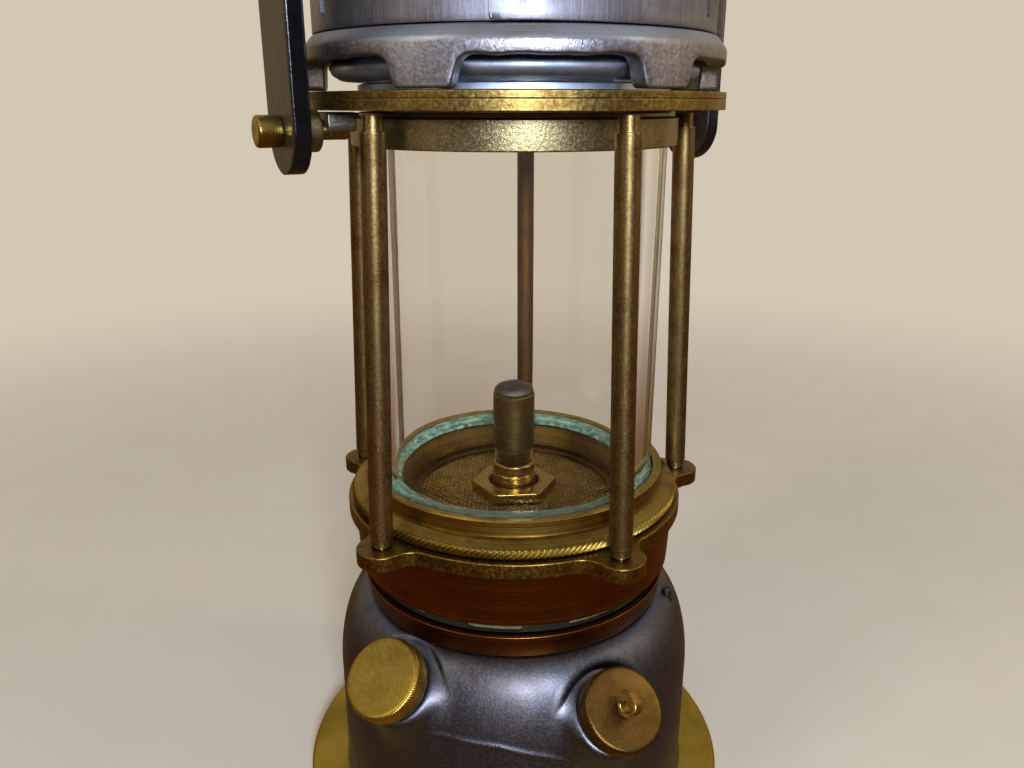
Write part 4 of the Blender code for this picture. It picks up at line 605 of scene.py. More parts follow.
for side, place in cap_places.items():
    seat = place @ Matrix.Translation((0.0, 0.0, 0.0014))
    cap = lathe("cap_" + side, [
        (0.0, 0.0044), (0.0070, 0.0044), (0.0074, 0.00438),
        (0.0077, 0.00425), (0.00795, 0.0040), (0.0081, 0.0037), (0.0081, 0.0008), (0.0080, 0.0004),
        (0.0077, 0.0001), (0.0074, 0.0), (0.0052, 0.0), (0.0052, -0.0055), (0.0049, -0.0058), (0.0, -0.0058),
    ], CAP_TEETH * 6, seat, cap_reach)
    cap.data.transform(seat)
    cap.matrix_world = Matrix.Identity(4)
    fit(cap, side + "_cap", "brass", CAP_BRASS if side == "left" else CAP_BROWNED, "filler_cap_" + side)
    keep("filler_washer_" + side, DARK_FIBRE)

# Curled eye: a strip rolled into a leaning loop, its first end a narrow tail that runs off the loop
eye_turn = Matrix(((0.0, 0.0, 1.0), (1.0, 0.0, 0.0), (0.0, 1.0, 0.0))).to_4x4()
eye_place = (cap_places["right"] @ Matrix.Translation((0.0, 0.0, CAP_SEAT + 0.0024))
             @ Matrix.Rotation(math.radians(30.0), 4, "Y") @ eye_turn)
eye_rings = []
eye_steps = 56
for step in range(eye_steps + 1):
    share = step / eye_steps
    turn = math.radians(-6.0 + 316.0 * share)
    leave = max(0.0, 1 - share / 0.24) ** 2
    outer, thick = 0.0020 + 0.0011 * leave, 0.0007
    half = 0.0007 + 0.0006 * min(share / 0.35, 1.0)
    inner = outer - thick
    corner = 0.0001
    section = ((outer - corner, half), (outer, half - corner), (outer, -half + corner),
               (outer - corner, -half), (inner + corner, -half), (inner, -half + corner),
               (inner, half - corner), (inner + corner, half))
    eye_rings.append([(radius * math.cos(turn), radius * math.sin(turn), width) for radius, width in section])
fit(loft("wire_eye", eye_rings, eye_place), "right_cap", "brass", EYE_BRASS, "seal_eye")

# Burner: rim, hexagon nut, stepped collar, threaded tube and domed wick tip
# The rim of the gauze takes the darker brass: painted shade in the recess
fit(lathe("rim_of_gauze", soften([
    (0.0223, 0.0698), (0.0223, 0.0713), (0.0214, 0.0713), (0.0214, 0.0722), (0.0242, 0.0722),
    (0.0242, 0.0698)], 0.0002)), "vessel", "brass", RECESS_PAINTED_SHADE, "gauze_rim")
hexagon = []
NUT_CORNER = 0.0009     # how far each corner of the nut is cut back
for index in range(6):
    before, corner, after = [polar(0.0097, 4.0 + 60.0 * (index + more), 0.0).xy for more in (-1, 0, 1)]
    hexagon += [tuple(spot) for spot in rounded(corner + (before - corner).normalized() * NUT_CORNER, corner,
                                                corner + (after - corner).normalized() * NUT_CORNER, 3)]
fit(plate("burner_nut", [hexagon, arc((0.0, 0.0), (0.0056, 0.0056), 0.0, 355.0, 71)], 0.0713, 0.0737, 0.0003),
    "vessel", "brass", BURNER_BRASS, "gauze_nut")
fit(lathe("burner_sleeve", soften([
    (0.0035, 0.0704), (0.0035, 0.0784), (0.0043, 0.0784), (0.00475, 0.0780), (0.00475, 0.0766),
    (0.00455, 0.0764), (0.00455, 0.0758), (0.00475, 0.0756), (0.00475, 0.0704)], 0.00015), SMALL_STEPS),
    "vessel", "brass", BURNER_BRASS, "burner_collar")
ridges = [(0.0042 if index % 2 else 0.0039, 0.0787 + 0.000175 * index) for index in range(15)]
fit(lathe("wick_tube", [
    (0.0033, 0.0939), (0.0035, 0.0940), (0.0043, 0.0940), (0.0045, 0.0938), (0.0045, 0.0820),
    (0.0044, 0.0817), (0.0042, 0.0814), *reversed(ridges), (0.0033, 0.0787)], SMALL_STEPS),
    "vessel", "brass", TUBE_BRASS, "burner_tube")
fit(lathe("wick_tip", [
    (0.0, 0.0964), *reversed(arc((0.0, 0.0943), (0.0043, 0.0021), 4.0, 84.0, 12)), (0.0042, 0.0943),
    (0.0030, 0.0943), (0.0030, 0.0903), (0.0, 0.0903)], SMALL_STEPS),
    "vessel", "steel", BURNT_STEEL, "burner_tip")
# The tower under the gauze is painted dark: painted shade
keep("burner_tower", TOWER_PAINTED_SHADE)
keep("frame_seal", DARK_FIBRE)


def woven_disc(name, radius, hole, middle, pitch, wire, lift):
    """A disc of crossing wires that pass over and under each other by a lift from its middle height."""
    vertices, faces = [], []
    sides = 5
    count = int(radius / pitch)
    for across in (False, True):
        for line in range(-count, count + 1):
            offset = line * pitch
            half = math.sqrt(max(radius ** 2 - offset ** 2, 0.0))
            gap = math.sqrt(max(hole ** 2 - offset ** 2, 0.0)) if abs(offset) < hole else 0.0
            spans = [(-half, -gap), (gap, half)] if gap else [(-half, half)]
            for start, end in spans:
                steps = max(2, int((end - start) / (pitch / 3)))
                base = len(vertices)
                for step in range(steps + 1):
                    along = start + (end - start) * step / steps
                    phase = math.cos(math.pi * along / pitch) * (1 if (line % 2) ^ across else -1)
                    rise = middle + lift * phase
                    for corner in range(sides):
                        turn = math.tau * corner / sides
                        out = offset + wire / 2 * math.cos(turn)
                        up = rise + wire / 2 * math.sin(turn)
                        vertices.append((out, along, up) if across else (along, out, up))
                for step in range(steps):
                    faces += band(base + step * sides, base + (step + 1) * sides, sides)
                for end_ring in (base, base + steps * sides):
                    faces.append(tuple(range(end_ring, end_ring + sides)))
    return mesh_piece(name, vertices, faces, Matrix.Rotation(math.radians(-31.0), 4, "Z"))


fit(woven_disc("woven_gauze", 0.0220, 0.0053, 0.0708, GAUZE_PITCH, 0.00042, 0.00021), "vessel", "gauze",
    GAUZE_BRONZE, "gauze_disc")

# Lower frame: screwed collar, air ring with ports, barrel
fit(lathe("screwed_collar", soften([
    (0.0275, 0.0443), (0.0275, 0.0546), (0.0340, 0.0546), (0.0330, 0.0496), (0.0309, 0.0496),
    (0.0309, 0.0443)])), "frame", "brass", BARREL_BRASS, "thread_collar")
air_ring = lathe("slotted_ring", soften([
    (0.0300, 0.0549), (0.0300, 0.0573), (0.0326, 0.0573), (0.0326, 0.0549)], 0.0002), 240)
# A port is cut right through the ring, so five tools make ten ports, each 20 degrees wide
ports = []
for index in range(5):
    place = outward(-37.7 + 36.0 * index, 0.0, Vector((0.0, 0.0, 0.0561)))
    half = 0.0318 * math.sin(math.radians(10.0))
    ends = arc((half - 0.0008, 0.0), (0.0008, 0.0009), -90.0, 90.0, 8)
    ends += arc((0.0008 - half, 0.0), (0.0008, 0.0009), 90.0, 270.0, 8)
    ports.append(loft("port", [[(x, y, depth) for x, y in ends] for depth in (-0.033, 0.033)], place))
cut_away(air_ring, ports)
fit(air_ring, "frame", "steel", DARK_STEEL, "air_ring")
fit(lathe("air_gauze", soften([(0.0314, 0.0550), (0.0314, 0.0572), (0.0318, 0.0572), (0.0318, 0.0550)],
                              0.00005)), "frame", "gauze", AIR_SCREEN)
fit(lathe("lower_barrel", soften([
    (0.0290, 0.0576), (0.0290, 0.0687), (0.0352, 0.0687), (0.0346, 0.0576)])),
    "frame", "brass", BARREL_BRASS, "barrel")


def plate_outline(steps):
    """The round plate with five ears, each blended by a hollow fillet on both sides."""
    radius, ear_radius, hollow_radius = 0.0366, 0.0049, 0.0045
    hub, reach = radius + hollow_radius, ear_radius + hollow_radius
    swing = math.acos((PILLAR_SPREAD ** 2 + hub ** 2 - reach ** 2) / (2 * PILLAR_SPREAD * hub))
    points = []
    for azimuth in PILLAR_AZIMUTHS:
        middle = math.radians(azimuth) - math.pi / 2
        ear = (PILLAR_SPREAD * math.cos(middle), PILLAR_SPREAD * math.sin(middle))
        for sign in (-1, 1):
            turn = middle + sign * swing
            hollow = (hub * math.cos(turn), hub * math.sin(turn))
            to_hub = math.degrees(turn) + 180.0
            to_ear = math.degrees(math.atan2(ear[1] - hollow[1], ear[0] - hollow[0]))
            bend = (to_ear - to_hub + 180.0) % 360.0 - 180.0
            fillet = arc(hollow, (hollow_radius, hollow_radius), to_hub, to_hub + bend, steps)
            if sign < 0:
                points += fillet[:-1]
                start = to_ear + 180.0
            else:
                span = (to_ear + 180.0 - start) % 360.0
                points += arc(ear, (ear_radius, ear_radius), start, start + span, 2 * steps)
                points += list(reversed(fillet))[1:]
        gap = math.tau / 5 - 2 * swing
        points += arc((0.0, 0.0), (radius, radius), math.degrees(middle + swing),
                      math.degrees(middle + swing + gap), 2 * steps)[1:-1]
    return points


holes = [arc(polar(PILLAR_SPREAD, azimuth, 0.0), (0.0017, 0.0017), 0.0, 345.0, 23)
         for azimuth in PILLAR_AZIMUTHS]
fit(plate("eared_plate", [plate_outline(14), arc((0.0, 0.0), (0.0256, 0.0256), 0.0, 357.5, 143), *holes],
          0.0690, 0.0722, 0.00035), "frame", "brass", PLATE_BRASS, "pillar_plate")

# Glass seat: stepped and bevelled, with a rope knurl round its flange
KNURL_TEETH = 190
KNURL_LOW = 0.0725
KNURL_TALL = 0.0019
KNURL_DEPTH = 0.00040
KNURL_SLANT = 5600.0    # phase of the ridges for each metre of height


def rope_reach(turns, radius, height):
    """Slanted ridges of the rope knurl round the seat's flange."""
    if radius < 0.0350 or height > 0.0745:
        return np.full(len(turns), radius)
    share = math.sin(math.pi * min(max((height - KNURL_LOW) / KNURL_TALL, 0.0), 1.0)) ** 0.5
    phase = KNURL_TEETH * turns - (height - KNURL_LOW) * KNURL_SLANT
    return radius - KNURL_DEPTH * share * (0.5 - 0.5 * np.cos(phase))


flank = [(0.0351 + 0.0006 * math.sin(math.pi * step / 14) ** 0.5, KNURL_LOW + KNURL_TALL * step / 14)
         for step in range(15)]
seat = fit(lathe("knurled_seat", [
    (0.0232, 0.0727), (0.0234, 0.0725), *flank, (0.0348, 0.07455), (0.0336, 0.0754), (0.0333, 0.0756),
    (0.0330, 0.0757), (0.03245, 0.0757), (0.0324, 0.0759), (0.0324, 0.0786), (0.0321, 0.0789),
    (0.0310, 0.0789), (0.0307, 0.0786), (0.0307, 0.0769), (0.0248, 0.0769), (0.0246, 0.0767)],
    KNURL_TEETH * 8, None, rope_reach), "frame", "brass", TURNED_BRASS, "glass_seat")
# The seat's inner faces take the darker brass: painted shade in the recess
second_finish(seat, RECESS_PAINTED_SHADE, lambda centre: math.hypot(centre.x, centre.y) < 0.0249)
fit(lathe("lower_seal", soften([
    (0.0249, 0.0772), (0.0249, 0.0780), (0.0261, 0.0781), (0.0265, 0.0787), (0.0298, 0.0787),
    (0.0301, 0.0781), (0.0304, 0.0781), (0.0304, 0.0772)], 0.0002)),
    "frame", "teal_rubber", VERDIGRIS, "lower_gasket")
fit(lathe("lamp_glass", soften([
    (0.0262, 0.0784), (0.0262, 0.1484), (0.0300, 0.1484), (0.0300, 0.0784)], 0.0004), 192),
    "frame", "glass", LAMP_GLASS, "glass")
keep("upper_gasket", DARK_FIBRE)
fit(lathe("upper_collar", soften([
    (0.0303, 0.1455), (0.0303, 0.1500), (0.0262, 0.1500), (0.0262, 0.15165), (0.0300, 0.15165),
    (0.0300, 0.1507), (0.0318, 0.1507), (0.0318, 0.1455)])), "frame", "brass", COLLAR_BRASS, "glass_collar")

# Pillars with a shouldered neck at both ends, and slotted screws below
PILLAR_FOOT, PILLAR_RISE = 0.0725, 0.07915
PILLAR_LEAN = math.atan2(PILLAR_SPREAD - 0.0359, PILLAR_RISE)
REAR_PILLAR = 2
start = 0.0003 + 0.00225 * math.tan(PILLAR_LEAN)
length = PILLAR_RISE / math.cos(PILLAR_LEAN) - start
# The rear pillar takes the darker rod finish: painted shade
for index, azimuth in enumerate(PILLAR_AZIMUTHS):
    stand = outward(azimuth, 90.0 + math.degrees(PILLAR_LEAN), polar(PILLAR_SPREAD, azimuth, PILLAR_FOOT))
    fit(lathe("rod_%d" % (index + 1), [
        (0.0, length), (0.0018, length), (0.0018, length - 0.0024), (0.00183, length - 0.0026),
        (0.00218, length - 0.0027), (0.00225, length - 0.0029), (0.00225, 0.0017), (0.0021, 0.0015),
        (0.00195, 0.0014), (0.00195, start - 0.0003), (0.0, start - 0.0003)], TINY_STEPS, stand),
        "frame", "brass", REAR_PILLAR_PAINTED_SHADE if index == REAR_PILLAR else PILLAR_BRASS,
        "pillar_%d" % (index + 1))
    head = Matrix.Translation(polar(PILLAR_SPREAD, azimuth, 0.0687))
    screw = lathe("screw_%d" % (index + 1), [
        (0.0, 0.0035), (0.0013, 0.0035), (0.0013, 0.0), (0.0025, 0.0), (0.0026, -0.0002), (0.0024, -0.0011),
        (0.0020, -0.0014), (0.0, -0.0014)], TINY_STEPS, head)
    slot = loft("slot", [[(x, y, height) for x, y in ((-0.003, -0.0003), (0.003, -0.0003), (0.003, 0.0003),
                                                      (-0.003, 0.0003))] for height in (-0.002, -0.0008)],
                head @ Matrix.Rotation(0.7 * index, 4, "Z"))
    cut_away(screw, [slot])
    fit(screw, "frame", "brass", BURNER_BRASS, "pillar_screw_%d" % (index + 1))

# Two ring plates laid on each other
for name, node, levels in (("ring_below", "ring_lower", (0.15195, 0.15383)),
                           ("ring_above", "ring_upper", (0.15387, 0.15505))):
    fit(lathe(name, soften([(0.0240, levels[0]), (0.0240, levels[1]), (0.0403, levels[1]),
                            (0.0403, levels[0])], 0.00014), 192),
        "frame", "brass", RING_BRASS, node)

# Pivots of the bail: bracket, spacing collar and headed pin
PIVOT = 0.1486
for side, azimuth, play in (("left", -90.0, -0.0006), ("right", 90.0, 0.0006)):
    pivot = outward(azimuth, 0.0, Vector((0.0, 0.0, PIVOT)))
    outline = soften([(0.0030, 0.0006), (0.0030, 0.0031), (-0.0030, 0.0031), (-0.0030, 0.0006),
                      (-0.0024, -0.0002), (0.0024, -0.0002)], 0.0006)
    bracket = plate("bracket_" + side, [outline], 0.0338, 0.0390, 0.00025, pivot)
    saddle = lathe("saddle", [(0.0, 0.033), (0.0018, 0.033), (0.0018, 0.040), (0.0, 0.040)], 48, pivot)
    cut_away(bracket, [saddle])
    fit(bracket, "frame", "brass", ZINC_WASH, "pivot_bracket_" + side)
    fit(lathe("spacer_" + side, soften([(0.0019, 0.0400), (0.0019, 0.0431), (0.0036, 0.0431),
                                        (0.0036, 0.0400)], 0.0005), SMALL_STEPS, pivot),
        "frame", "brass", COLLAR_BRASS, "pivot_collar_" + side)
    head = 0.0438 + 0.0033 + play + 0.0002
    fit(lathe("pin_" + side, [
        (0.0, head + 0.0039), (0.0008, head + 0.0040), (0.0022, head + 0.0041), (0.0025, head + 0.0040),
        (0.0027, head + 0.0037), (0.0027, head + 0.0004), (0.0026, head), (0.0016, head), (0.0016, 0.0348),
        (0.0014, 0.0346), (0.0, 0.0346)], TINY_STEPS, pivot),
        "frame", "brass", BURNER_BRASS, "pivot_pin_" + side)


def bail_mesh():
    """A flat bar bent over in a U, its ends rounded about the pivots."""
    half_gap, thick, half_width, edge = 0.0438, 0.0033, 0.00725, 0.0006
    top, bend = 0.1180, 0.0180
    centre = half_gap + thick / 2
    turn_radius = bend + thick / 2
    path = []
    for step in range(17):
        drop = -half_width * math.cos(math.pi / 2 * step / 16)
        path.append((centre, drop, (1.0, 0.0)))
    path += [(centre, height, (1.0, 0.0)) for height in (0.03, 0.07)]
    for x, z in arc((centre - turn_radius, top - bend), (turn_radius, turn_radius), 0.0, 90.0, 20):
        out = Vector((x - (centre - turn_radius), z - (top - bend))).normalized()
        path.append((x, z, tuple(out)))
    path += [(-x, z, (-out[0], out[1])) for x, z, out in reversed(path)]
    rings = []
    for x, z, out in path:
        half = half_width
        if z < 0:
            half = math.sqrt(max(half_width ** 2 - z ** 2, 1e-8))
        soft = min(edge, half * 0.8)
        loop = []
        for side_y, side_t, start in ((1, 1, 0.0), (-1, 1, 90.0), (-1, -1, 180.0), (1, -1, 270.0)):
            for across, along in arc((0.0, 0.0), (1.0, 1.0), start, start + 90.0, 4):
                loop.append((side_y * (half - soft) + soft * across,
                             side_t * (thick / 2 - edge) + edge * along))
        rings.append([(x + out[0] * t, y, z + out[1] * t) for y, t in loop])
    return loft("carrying_bail", rings, Matrix.Translation((0.0006, 0.0, PIVOT)), sharp=math.radians(60))


bail = bail_mesh()
drills = []
for azimuth in (-90.0, 90.0):
    place = outward(azimuth, 0.0, Vector((0.0, 0.0, PIVOT)))
    drills.append(lathe("drill", [(0.0, 0.040), (0.0019, 0.040), (0.0019, 0.050), (0.0, 0.050)], 48, place))
cut_away(bail, drills)
fit(bail, "bail", "black_paint", BLACK_ENAMEL, "bail")

# Bonnet base: a casting on six feet; its lower edge is followed point by point
BASE = 0.15535          # height of the feet's underside
BASE_TOP = 0.16460
BASE_SLOPE = 0.0027     # the slope drops so far below the top
WINDOW = 0.00485        # height of the openings between the feet
BASE_OUT = 0.0398
BASE_IN = 0.0360
BASE_FEET = 6
FOOT_AZIMUTH = 7.5      # middle of the first foot
BROKEN_AZIMUTH = 51.0   # the casting's edge is ragged about here


def base_edge():
    """The lower edge unrolled: (distance round the rim, height) from one foot to the next, spaced evenly."""
    pitch = math.tau * BASE_OUT / BASE_FEET
    foot, flare = 0.0097 / 2, 0.0016
    corners = [(0.0, 0.0, 0.0), (foot, 0.0, 0.0009), (foot + flare, WINDOW, 0.0018),
               (pitch - foot - flare, WINDOW, 0.0018), (pitch - foot, 0.0, 0.0009), (pitch, 0.0, 0.0)]
    line = [Vector((0.0, 0.0))]
    for (bx, bz, _), (x, z, size), (ax, az, _) in zip(corners, corners[1:], corners[2:]):
        corner = Vector((x, z))
        first = corner + (Vector((bx, bz)) - corner).normalized() * size
        last = corner + (Vector((ax, az)) - corner).normalized() * size
        line += rounded(first, corner, last, 8)
    line.append(Vector((pitch, 0.0)))
    spaced = [line[0]]
    for point in line[1:]:
        gap = (point - spaced[-1]).length
        pieces = max(1, math.ceil(gap / 0.0005))
        before = spaced[-1].copy()
        spaced += [before.lerp(point, (step + 1) / pieces) for step in range(pieces)]
    return spaced[:-1], pitch


def base_mesh():
    """The casting as one loop of points for each step along its lower edge."""
    edge_line, pitch = base_edge()
    outline = [(point.x + pitch * foot, point.y) for foot in range(BASE_FEET) for point in edge_line]
    count = len(outline)
    around = BASE_FEET * pitch
    points = []
    for run, height in outline:
        azimuth = FOOT_AZIMUTH + math.degrees(run / BASE_OUT)
        ragged = max(0.0, 1 - abs(((azimuth - BROKEN_AZIMUTH + 180) % 360) - 180) / 9.0)
        if height > WINDOW - 0.0006:
            height -= 0.0012 * ragged * (0.5 + 0.5 * noise.noise(Vector((run * 900, 3.1, 0.0))))
            height += 0.0003 * noise.noise(Vector((run * 220, 1.7, 0.0)))
        points.append(Vector((run, height)))
    levels = []
    round_off = 0.00045
    for at in range(count):
        before, after = points[at - 1].copy(), points[(at + 1) % count].copy()
        if at == 0:
            before.x -= around
        if at == count - 1:
            after.x += around
        along = (after - before).normalized()
        inward = Vector((-along.y, along.x))
        here = points[at]
        azimuth = FOOT_AZIMUTH + math.degrees(here.x / BASE_OUT)
        # A thin parting line of the mould stands proud on the foot at the right
        line = math.exp(-(((azimuth - 10.5 + 180) % 360 - 180) / 0.25) ** 2) * 0.00013
        loop = []

        def put(radius, spot):
            turn = FOOT_AZIMUTH + math.degrees(spot.x / BASE_OUT)
            loop.append(tuple(polar(radius, turn, BASE + spot.y)))

        top = BASE_TOP - BASE
        face = here + inward * round_off
        outer = [(0.0369, top), (0.0377, top), (0.0380, top - 0.0001), (0.0383, top - 0.0004),
                 (0.0389, top - 0.0011), (0.0394, top - 0.0017), (0.0397, top - 0.0022),
                 (BASE_OUT, top - BASE_SLOPE)]
        for radius, height in outer:
            put(radius + line * (height < top - 0.0008), Vector((face.x, height)))
        put(BASE_OUT + line, Vector((face.x, (face.y + top - BASE_SLOPE) / 2)))
        for share in (0.0, 0.33, 0.67, 1.0):
            turn = math.radians(90 * share)
            put(BASE_OUT - round_off * (1 - math.cos(turn)) + line,
                here + inward * round_off * (1 - math.sin(turn)))
        for share in (1.0, 0.67, 0.33, 0.0):
            turn = math.radians(90 * share)
            put(BASE_IN + round_off * (1 - math.cos(turn)), here + inward * round_off * (1 - math.sin(turn)))
        put(BASE_IN, Vector((face.x, top - 0.0003)))
        put(BASE_IN + 0.0003, Vector((face.x, top)))
        levels.append(loop)
    return loft("castellated_base", levels, closed=True, sharp=math.radians(50))


base = fit(base_mesh(), "frame", "cast_aluminium", SAND_CAST, "bonnet_base")
second_finish(base, TURNED_ALUMINIUM, lambda centre: centre.z > BASE_TOP - 0.0022)


def scalloped(turns, radius, height):
    """The deflector's bulge draws in beside each foot."""
    if radius < 0.0293 or height < 0.1565:
        return np.full(len(turns), radius)
    azimuths = np.degrees(turns) + 90.0
    off = np.abs((azimuths - FOOT_AZIMUTH + 30.0) % 60.0 - 30.0) * math.radians(1.0) * 0.034
    lower = np.clip((0.1590 - height) / 0.0020, 0.0, 1.0)
    share = np.clip(1 - off / 0.0062, 0.0, 1.0)
    share = share * share * (3 - 2 * share) * lower
    return radius - (radius - 0.0293) * share


bulge = arc((0.0325, 0.15885), (0.0027, 0.0018), 88.0, -88.0, 22)
fit(lathe("deflector_ring", [
    (0.0268, 0.15535), (0.0268, 0.1634), (0.0270, 0.16365), (0.0323, 0.16365), (0.0325, 0.1634), *bulge,
    (0.0294, 0.15705), (0.0291, 0.1569), (0.0291, 0.1566), (0.0297, 0.1565), (0.0300, 0.1563),
    (0.0300, 0.15535)], 288, None, scalloped), "frame", "sheet_aluminium", POLISHED_ALUMINIUM, "deflector")


def gauze_sheet():
    """Woven wire drawn in the surface: crossing wires by two waves, seen on the inner chimney."""
    finish = metal("bronze_gauze_sheet", "#B5924A", "#7E6230", "#463316", cloud=0.004,
                   marks=("even", 0.0003), roughness=(0.4, 0.55))
    tree = finish.node_tree
    shader = tree.nodes["Principled BSDF"]
    place = add(tree, "TexCoord").outputs["Object"]
    # A wave of this texture is a twentieth of a turn long at scale 1, and the wires are 0.9 mm apart
    scale = math.tau / 20.0 / 0.0009
    first = add(tree, "TexWave", {"Vector": place, "Scale": scale}, bands_direction="X")
    second = add(tree, "TexWave", {"Vector": place, "Scale": scale}, bands_direction="Z")
    weave = add(tree, "Math", {0: first.outputs["Fac"], 1: second.outputs["Fac"]}, operation="MAXIMUM")
    raised = add(tree, "Bump", {"Strength": 1.0, "Distance": 0.0002, "Height": weave.outputs[0]})
    tree.links.new(raised.outputs[0], shader.inputs["Normal"])
    return finish


SHEET_GAUZE = gauze_sheet()
keep("gauze_chimney", SHEET_GAUZE)
keep("gauze_lid", SHEET_GAUZE)


def shell_mesh():
    """Rolled sheet lapped at one seam, the outer end cut to a rounded tongue at its foot."""
    low, high, radius, wall = 0.1649, 0.2249, 0.0377, 0.0008
    seam, lap = -36.7, 7.0
    finish_turn = 360.0 + lap
    turns = list(np.arange(0.0, 24.0, 0.75)) + list(np.arange(24.0, finish_turn - 30.0, 1.5))
    turns += list(np.arange(finish_turn - 30.0, finish_turn - 2.0, 0.75))
    turns += [finish_turn - 2.0 + 0.1 * step for step in range(21)]
    heights = [low + (high - low) * share for share in
               (0.0, 0.004, 0.02, 0.05, 0.08, 0.12, 0.2, 0.3, 0.42, 0.55, 0.68, 0.8, 0.9, 0.996, 1.0)]
    vertices, faces = [], []
    for turn in turns:
        under = min(max((turn - lap - 1.5) / 14.0, 0.0), 1.0)
        over = min(max((turn - finish_turn + 26.0) / 17.0, 0.0), 1.0)
        out = radius + 0.00045 * (over * over * (3 - 2 * over) + under * under * (3 - 2 * under) - 1)
        azimuth = seam + lap - turn
        from_end = (finish_turn - turn) * math.radians(1.0) * radius
        lift = 0.0
        if from_end < 0.001:
            lift = 0.001 - math.sqrt(max(0.001 ** 2 - (0.001 - from_end) ** 2, 0.0))
        levels = [max(height, low + lift) for height in heights]
        for row, level in enumerate(levels):
            edge = 0.00015 if row in (0, len(levels) - 1) else 0.0
            vertices.append(tuple(polar(out - edge, azimuth, level)))
        vertices += [tuple(polar(out - wall, azimuth, level)) for level in levels]
    rows = len(heights)
    block = 2 * rows
    for column in range(len(turns) - 1):
        here, there = column * block, (column + 1) * block
        for row in range(rows - 1):
            inner, inner_there = here + rows + row, there + rows + row
            faces.append((here + row, there + row, there + row + 1, here + row + 1))
            faces.append((inner, inner + 1, inner_there + 1, inner_there))
        faces.append((here, here + rows, there + rows, there))
        faces.append((here + rows - 1, there + rows - 1, there + block - 1, here + block - 1))
    for here in (0, (len(turns) - 1) * block):
        for row in range(rows - 1):
            faces.append((here + row, here + row + 1, here + rows + row + 1, here + rows + row))
    return mesh_piece("rolled_shell", vertices, faces)


shell = shell_mesh()
bpy.context.view_layer.update()
mend = bmesh.new()
mend.from_mesh(shell.data)
bmesh.ops.remove_doubles(mend, verts=mend.verts, dist=0.0000005)
bmesh.ops.dissolve_degenerate(mend, edges=mend.edges, dist=0.0000005)
mend.to_mesh(shell.data)
mend.free()
# Tools for the three upright slots, the three dimples and the eight round outlets
tools = []
for azimuth in (30.0, 150.0, 270.0):
    place = outward(azimuth, 0.0, Vector((0.0, 0.0, 0.1692)))
    ends = arc((0.0, 0.0012), (0.0011, 0.0011), 0.0, 180.0, 10)
    ends += arc((0.0, -0.0012), (0.0011, 0.0011), 180.0, 360.0, 10)
    tools.append(loft("shell_slot", [[(x, y, depth) for x, y in ends] for depth in (0.0360, 0.0390)], place))
for azimuth, surface in ((-30.0, 0.03815), (90.0, 0.0377), (210.0, 0.0377)):
    place = Matrix.Translation(polar(surface + 0.00775, azimuth, 0.1689))
    tools.append(lathe("dimple", [(0.0, -0.008), *arc((0.0, 0.0), (0.008, 0.008), -86.0, 86.0, 60),
                                  (0.0, 0.008)], 96, place))
for index in range(8):
    place = outward(45.0 * index, 0.0, Vector((0.0, 0.0, 0.2154)))
    tools.append(lathe("outlet", [(0.0, 0.036), (0.0032, 0.036), (0.0032, 0.039), (0.0, 0.039)], 48, place))
cut_away(shell, tools)
fit(shell, "frame", "sheet_aluminium", SHEET_ALUMINIUM, "bonnet_shell")

# Bonnet top: spun cap with a rolled bead at its skirt and shallow rings on the crown
dome = arc((0.0117, 0.2262), (0.0273, 0.0085), 0.0, 88.0, 30)
fit(lathe("spun_top", soften([
    (0.0, 0.2347), (0.0040, 0.2347), (0.0045, 0.2344), (0.0100, 0.2344), (0.0106, 0.2347), *reversed(dome),
    (0.0390, 0.2222), (0.0386, 0.2219), (0.0386, 0.2215), (0.0390, 0.2212), (0.0390, 0.2207),
    (0.0380, 0.2207), (0.0380, 0.2252), (0.0369, 0.2253), (0.0300, 0.2318), (0.0160, 0.2336), (0.0, 0.2337),
], 0.0002), 192), "frame", "sheet_aluminium", SHEET_ALUMINIUM, "bonnet_top")


def softbox(name, place, aim, size, power, colour):
    """A soft rectangular studio lamp aimed at a point."""
    data = bpy.data.lights.new(name, "AREA")
    data.shape = "RECTANGLE"
    data.size, data.size_y = size
    data.energy = power
    data.color = linear(colour)[:3]
    item = bpy.data.objects.new(name, data)
    item.location = place
    item.rotation_euler = (Vector(aim) - Vector(place)).to_track_quat("-Z", "Y").to_euler()
    bpy.context.scene.collection.objects.link(item)


softbox("front_softbox", (-0.324, -0.792, 0.361), (0.0, 0.0, 0.10), (0.23, 0.23), 8.6, "#E6EEFF")
softbox("left_softbox", (-0.75, -0.10, 0.55), (0.0, 0.0, 0.12), (0.12, 0.75), 1.2, "#FFF1DD")
softbox("right_softbox", (0.60, -0.50, 0.50), (0.0, 0.0, 0.12), (0.10, 0.65), 1.2, "#FFEBD2")

# Pale floor that fades into the white of the room away from the lamp
FLOOR_HALF = 1.6
FADE_START, FADE_END = 0.12, 0.6
LOW_TONE = "#66421F"    # what metal mirrors from below
floor_mesh = bpy.data.meshes.new("studio_floor")
corners = [(x * FLOOR_HALF, y * FLOOR_HALF, 0.0) for x, y in ((-1, -1), (1, -1), (1, 1), (-1, 1))]
floor_mesh.from_pydata(corners, [], [(0, 1, 2, 3)])
floor = bpy.data.objects.new("studio_floor", floor_mesh)
bpy.context.scene.collection.objects.link(floor)
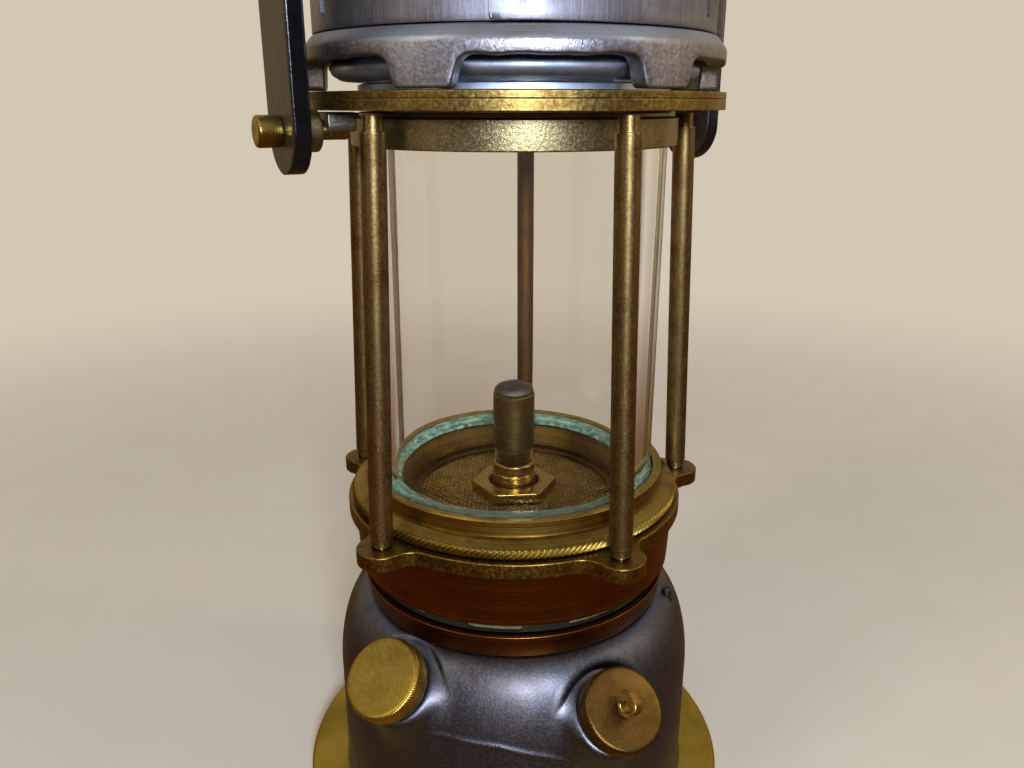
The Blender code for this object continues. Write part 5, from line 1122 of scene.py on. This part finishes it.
# Matt pale paper: slight mottle 33 mm wide, warm white
paper, tree, shader, place = begin("paper_pale")
mottle = add(tree, "TexNoise", {"Vector": place, "Scale": 1.0 / 0.0333, "Detail": 5.0})
tone = add(tree, "Mix", {SHARE: mottle.outputs[0], FIRST: linear("#F3EBDD"), SECOND: linear("#ECE2D1")},
           data_type="RGBA")
tree.links.new(tone.outputs[MIXED], shader.inputs["Base Color"])
shader.inputs["Roughness"].default_value = 0.9
away = add(tree, "VectorMath", {0: place}, operation="LENGTH")
fade = add(tree, "MapRange", {0: away.outputs["Value"], 1: FADE_START, 2: FADE_END, 3: 0.0, 4: 1.0},
           interpolation_type="SMOOTHSTEP")
open_air = add(tree, "BsdfTransparent")
# Seen in a reflection, the floor glows in the low tone instead: a painted brown reflection from below
path = add(tree, "LightPath")
mirrored = add(tree, "Math", {0: path.outputs["Glossy Depth"], 1: 0.5}, operation="GREATER_THAN")
low_light = add(tree, "Emission", {"Color": linear(LOW_TONE)})
top = add(tree, "MixShader", {0: mirrored.outputs[0], 1: shader.outputs[0], 2: low_light.outputs[0]})
ground = add(tree, "MixShader", {0: fade.outputs[0], 1: top.outputs[0], 2: open_air.outputs[0]})
tree.links.new(ground.outputs[0], tree.nodes["Material Output"].inputs["Surface"])
floor_mesh.materials.append(paper)

# Pale room: plain where it is seen. The metal mirrors it as warm behind the lamp, dim in front, grey
# above and brown below, which gives brass and aluminium their depth.
DIFFUSE_STRENGTH = 0.36
BACKWARD = (0.515, 0.857, 0.0)
room = bpy.data.worlds.new("pale_room")
bpy.context.scene.world = room
room.use_nodes = True
tree = room.node_tree
sky = tree.nodes["Background"]
path = add(tree, "LightPath")
seen = add(tree, "Math", {0: path.outputs["Is Camera Ray"], 1: path.outputs["Is Transmission Ray"]},
           operation="MAXIMUM")
seen = add(tree, "Math", {0: seen.outputs[0], 1: path.outputs["Is Glossy Ray"]}, operation="MAXIMUM")
strength = add(tree, "MapRange", {0: seen.outputs[0], 1: 0.0, 2: 1.0, 3: DIFFUSE_STRENGTH, 4: 1.0})
tree.links.new(strength.outputs[0], sky.inputs["Strength"])
aim = add(tree, "VectorMath", {0: add(tree, "TexCoord").outputs["Generated"]}, operation="NORMALIZE")
height = add(tree, "SeparateXYZ", {0: aim.outputs[0]}).outputs[2]
depth = add(tree, "VectorMath", {0: aim.outputs[0], 1: BACKWARD}, operation="DOT_PRODUCT").outputs["Value"]
tone = linear("#38312B")
for reach, start, end, tint in ((depth, -0.35, 0.45, "#AD9672"), (height, 0.25, 0.75, "#B2B5BC"),
                                (height, -0.02, -0.16, LOW_TONE)):
    share = add(tree, "MapRange", {0: reach, 1: start, 2: end, 3: 0.0, 4: 1.0},
                interpolation_type="SMOOTHSTEP")
    tone = add(tree, "Mix", {SHARE: share.outputs[0], FIRST: tone, SECOND: linear(tint)},
               data_type="RGBA").outputs[MIXED]
mirrored = add(tree, "Math", {0: path.outputs["Glossy Depth"], 1: 0.5}, operation="GREATER_THAN")
# Light turned back inside the glass wall keeps the plain tone, so the glass stays clear at its sides
in_wall = add(tree, "Math", {0: path.outputs["Transmission Depth"], 1: 2.0, 2: 0.5}, operation="COMPARE")
mirrored = add(tree, "Math", {0: mirrored.outputs[0], 1: in_wall.outputs[0]}, operation="SUBTRACT",
               use_clamp=True)
tone = add(tree, "Mix", {SHARE: mirrored.outputs[0], FIRST: linear("#D3C8B4"), SECOND: tone},
           data_type="RGBA")
tree.links.new(tone.outputs[MIXED], sky.inputs["Color"])

# Camera: close to the lamp, a little above the glass and looking down
lens = bpy.data.cameras.new("camera")
lens.sensor_width = 36.0
lens.lens = 29.76
lens.clip_start = 0.005
camera = bpy.data.objects.new("camera", lens)
camera.location = (-0.0901714, -0.1492789, 0.153)
camera.rotation_euler = (math.radians(71.7), 0.0, math.radians(-31.0))
bpy.context.scene.collection.objects.link(camera)
bpy.context.scene.camera = camera

bpy.context.scene.view_settings.view_transform = "Standard"
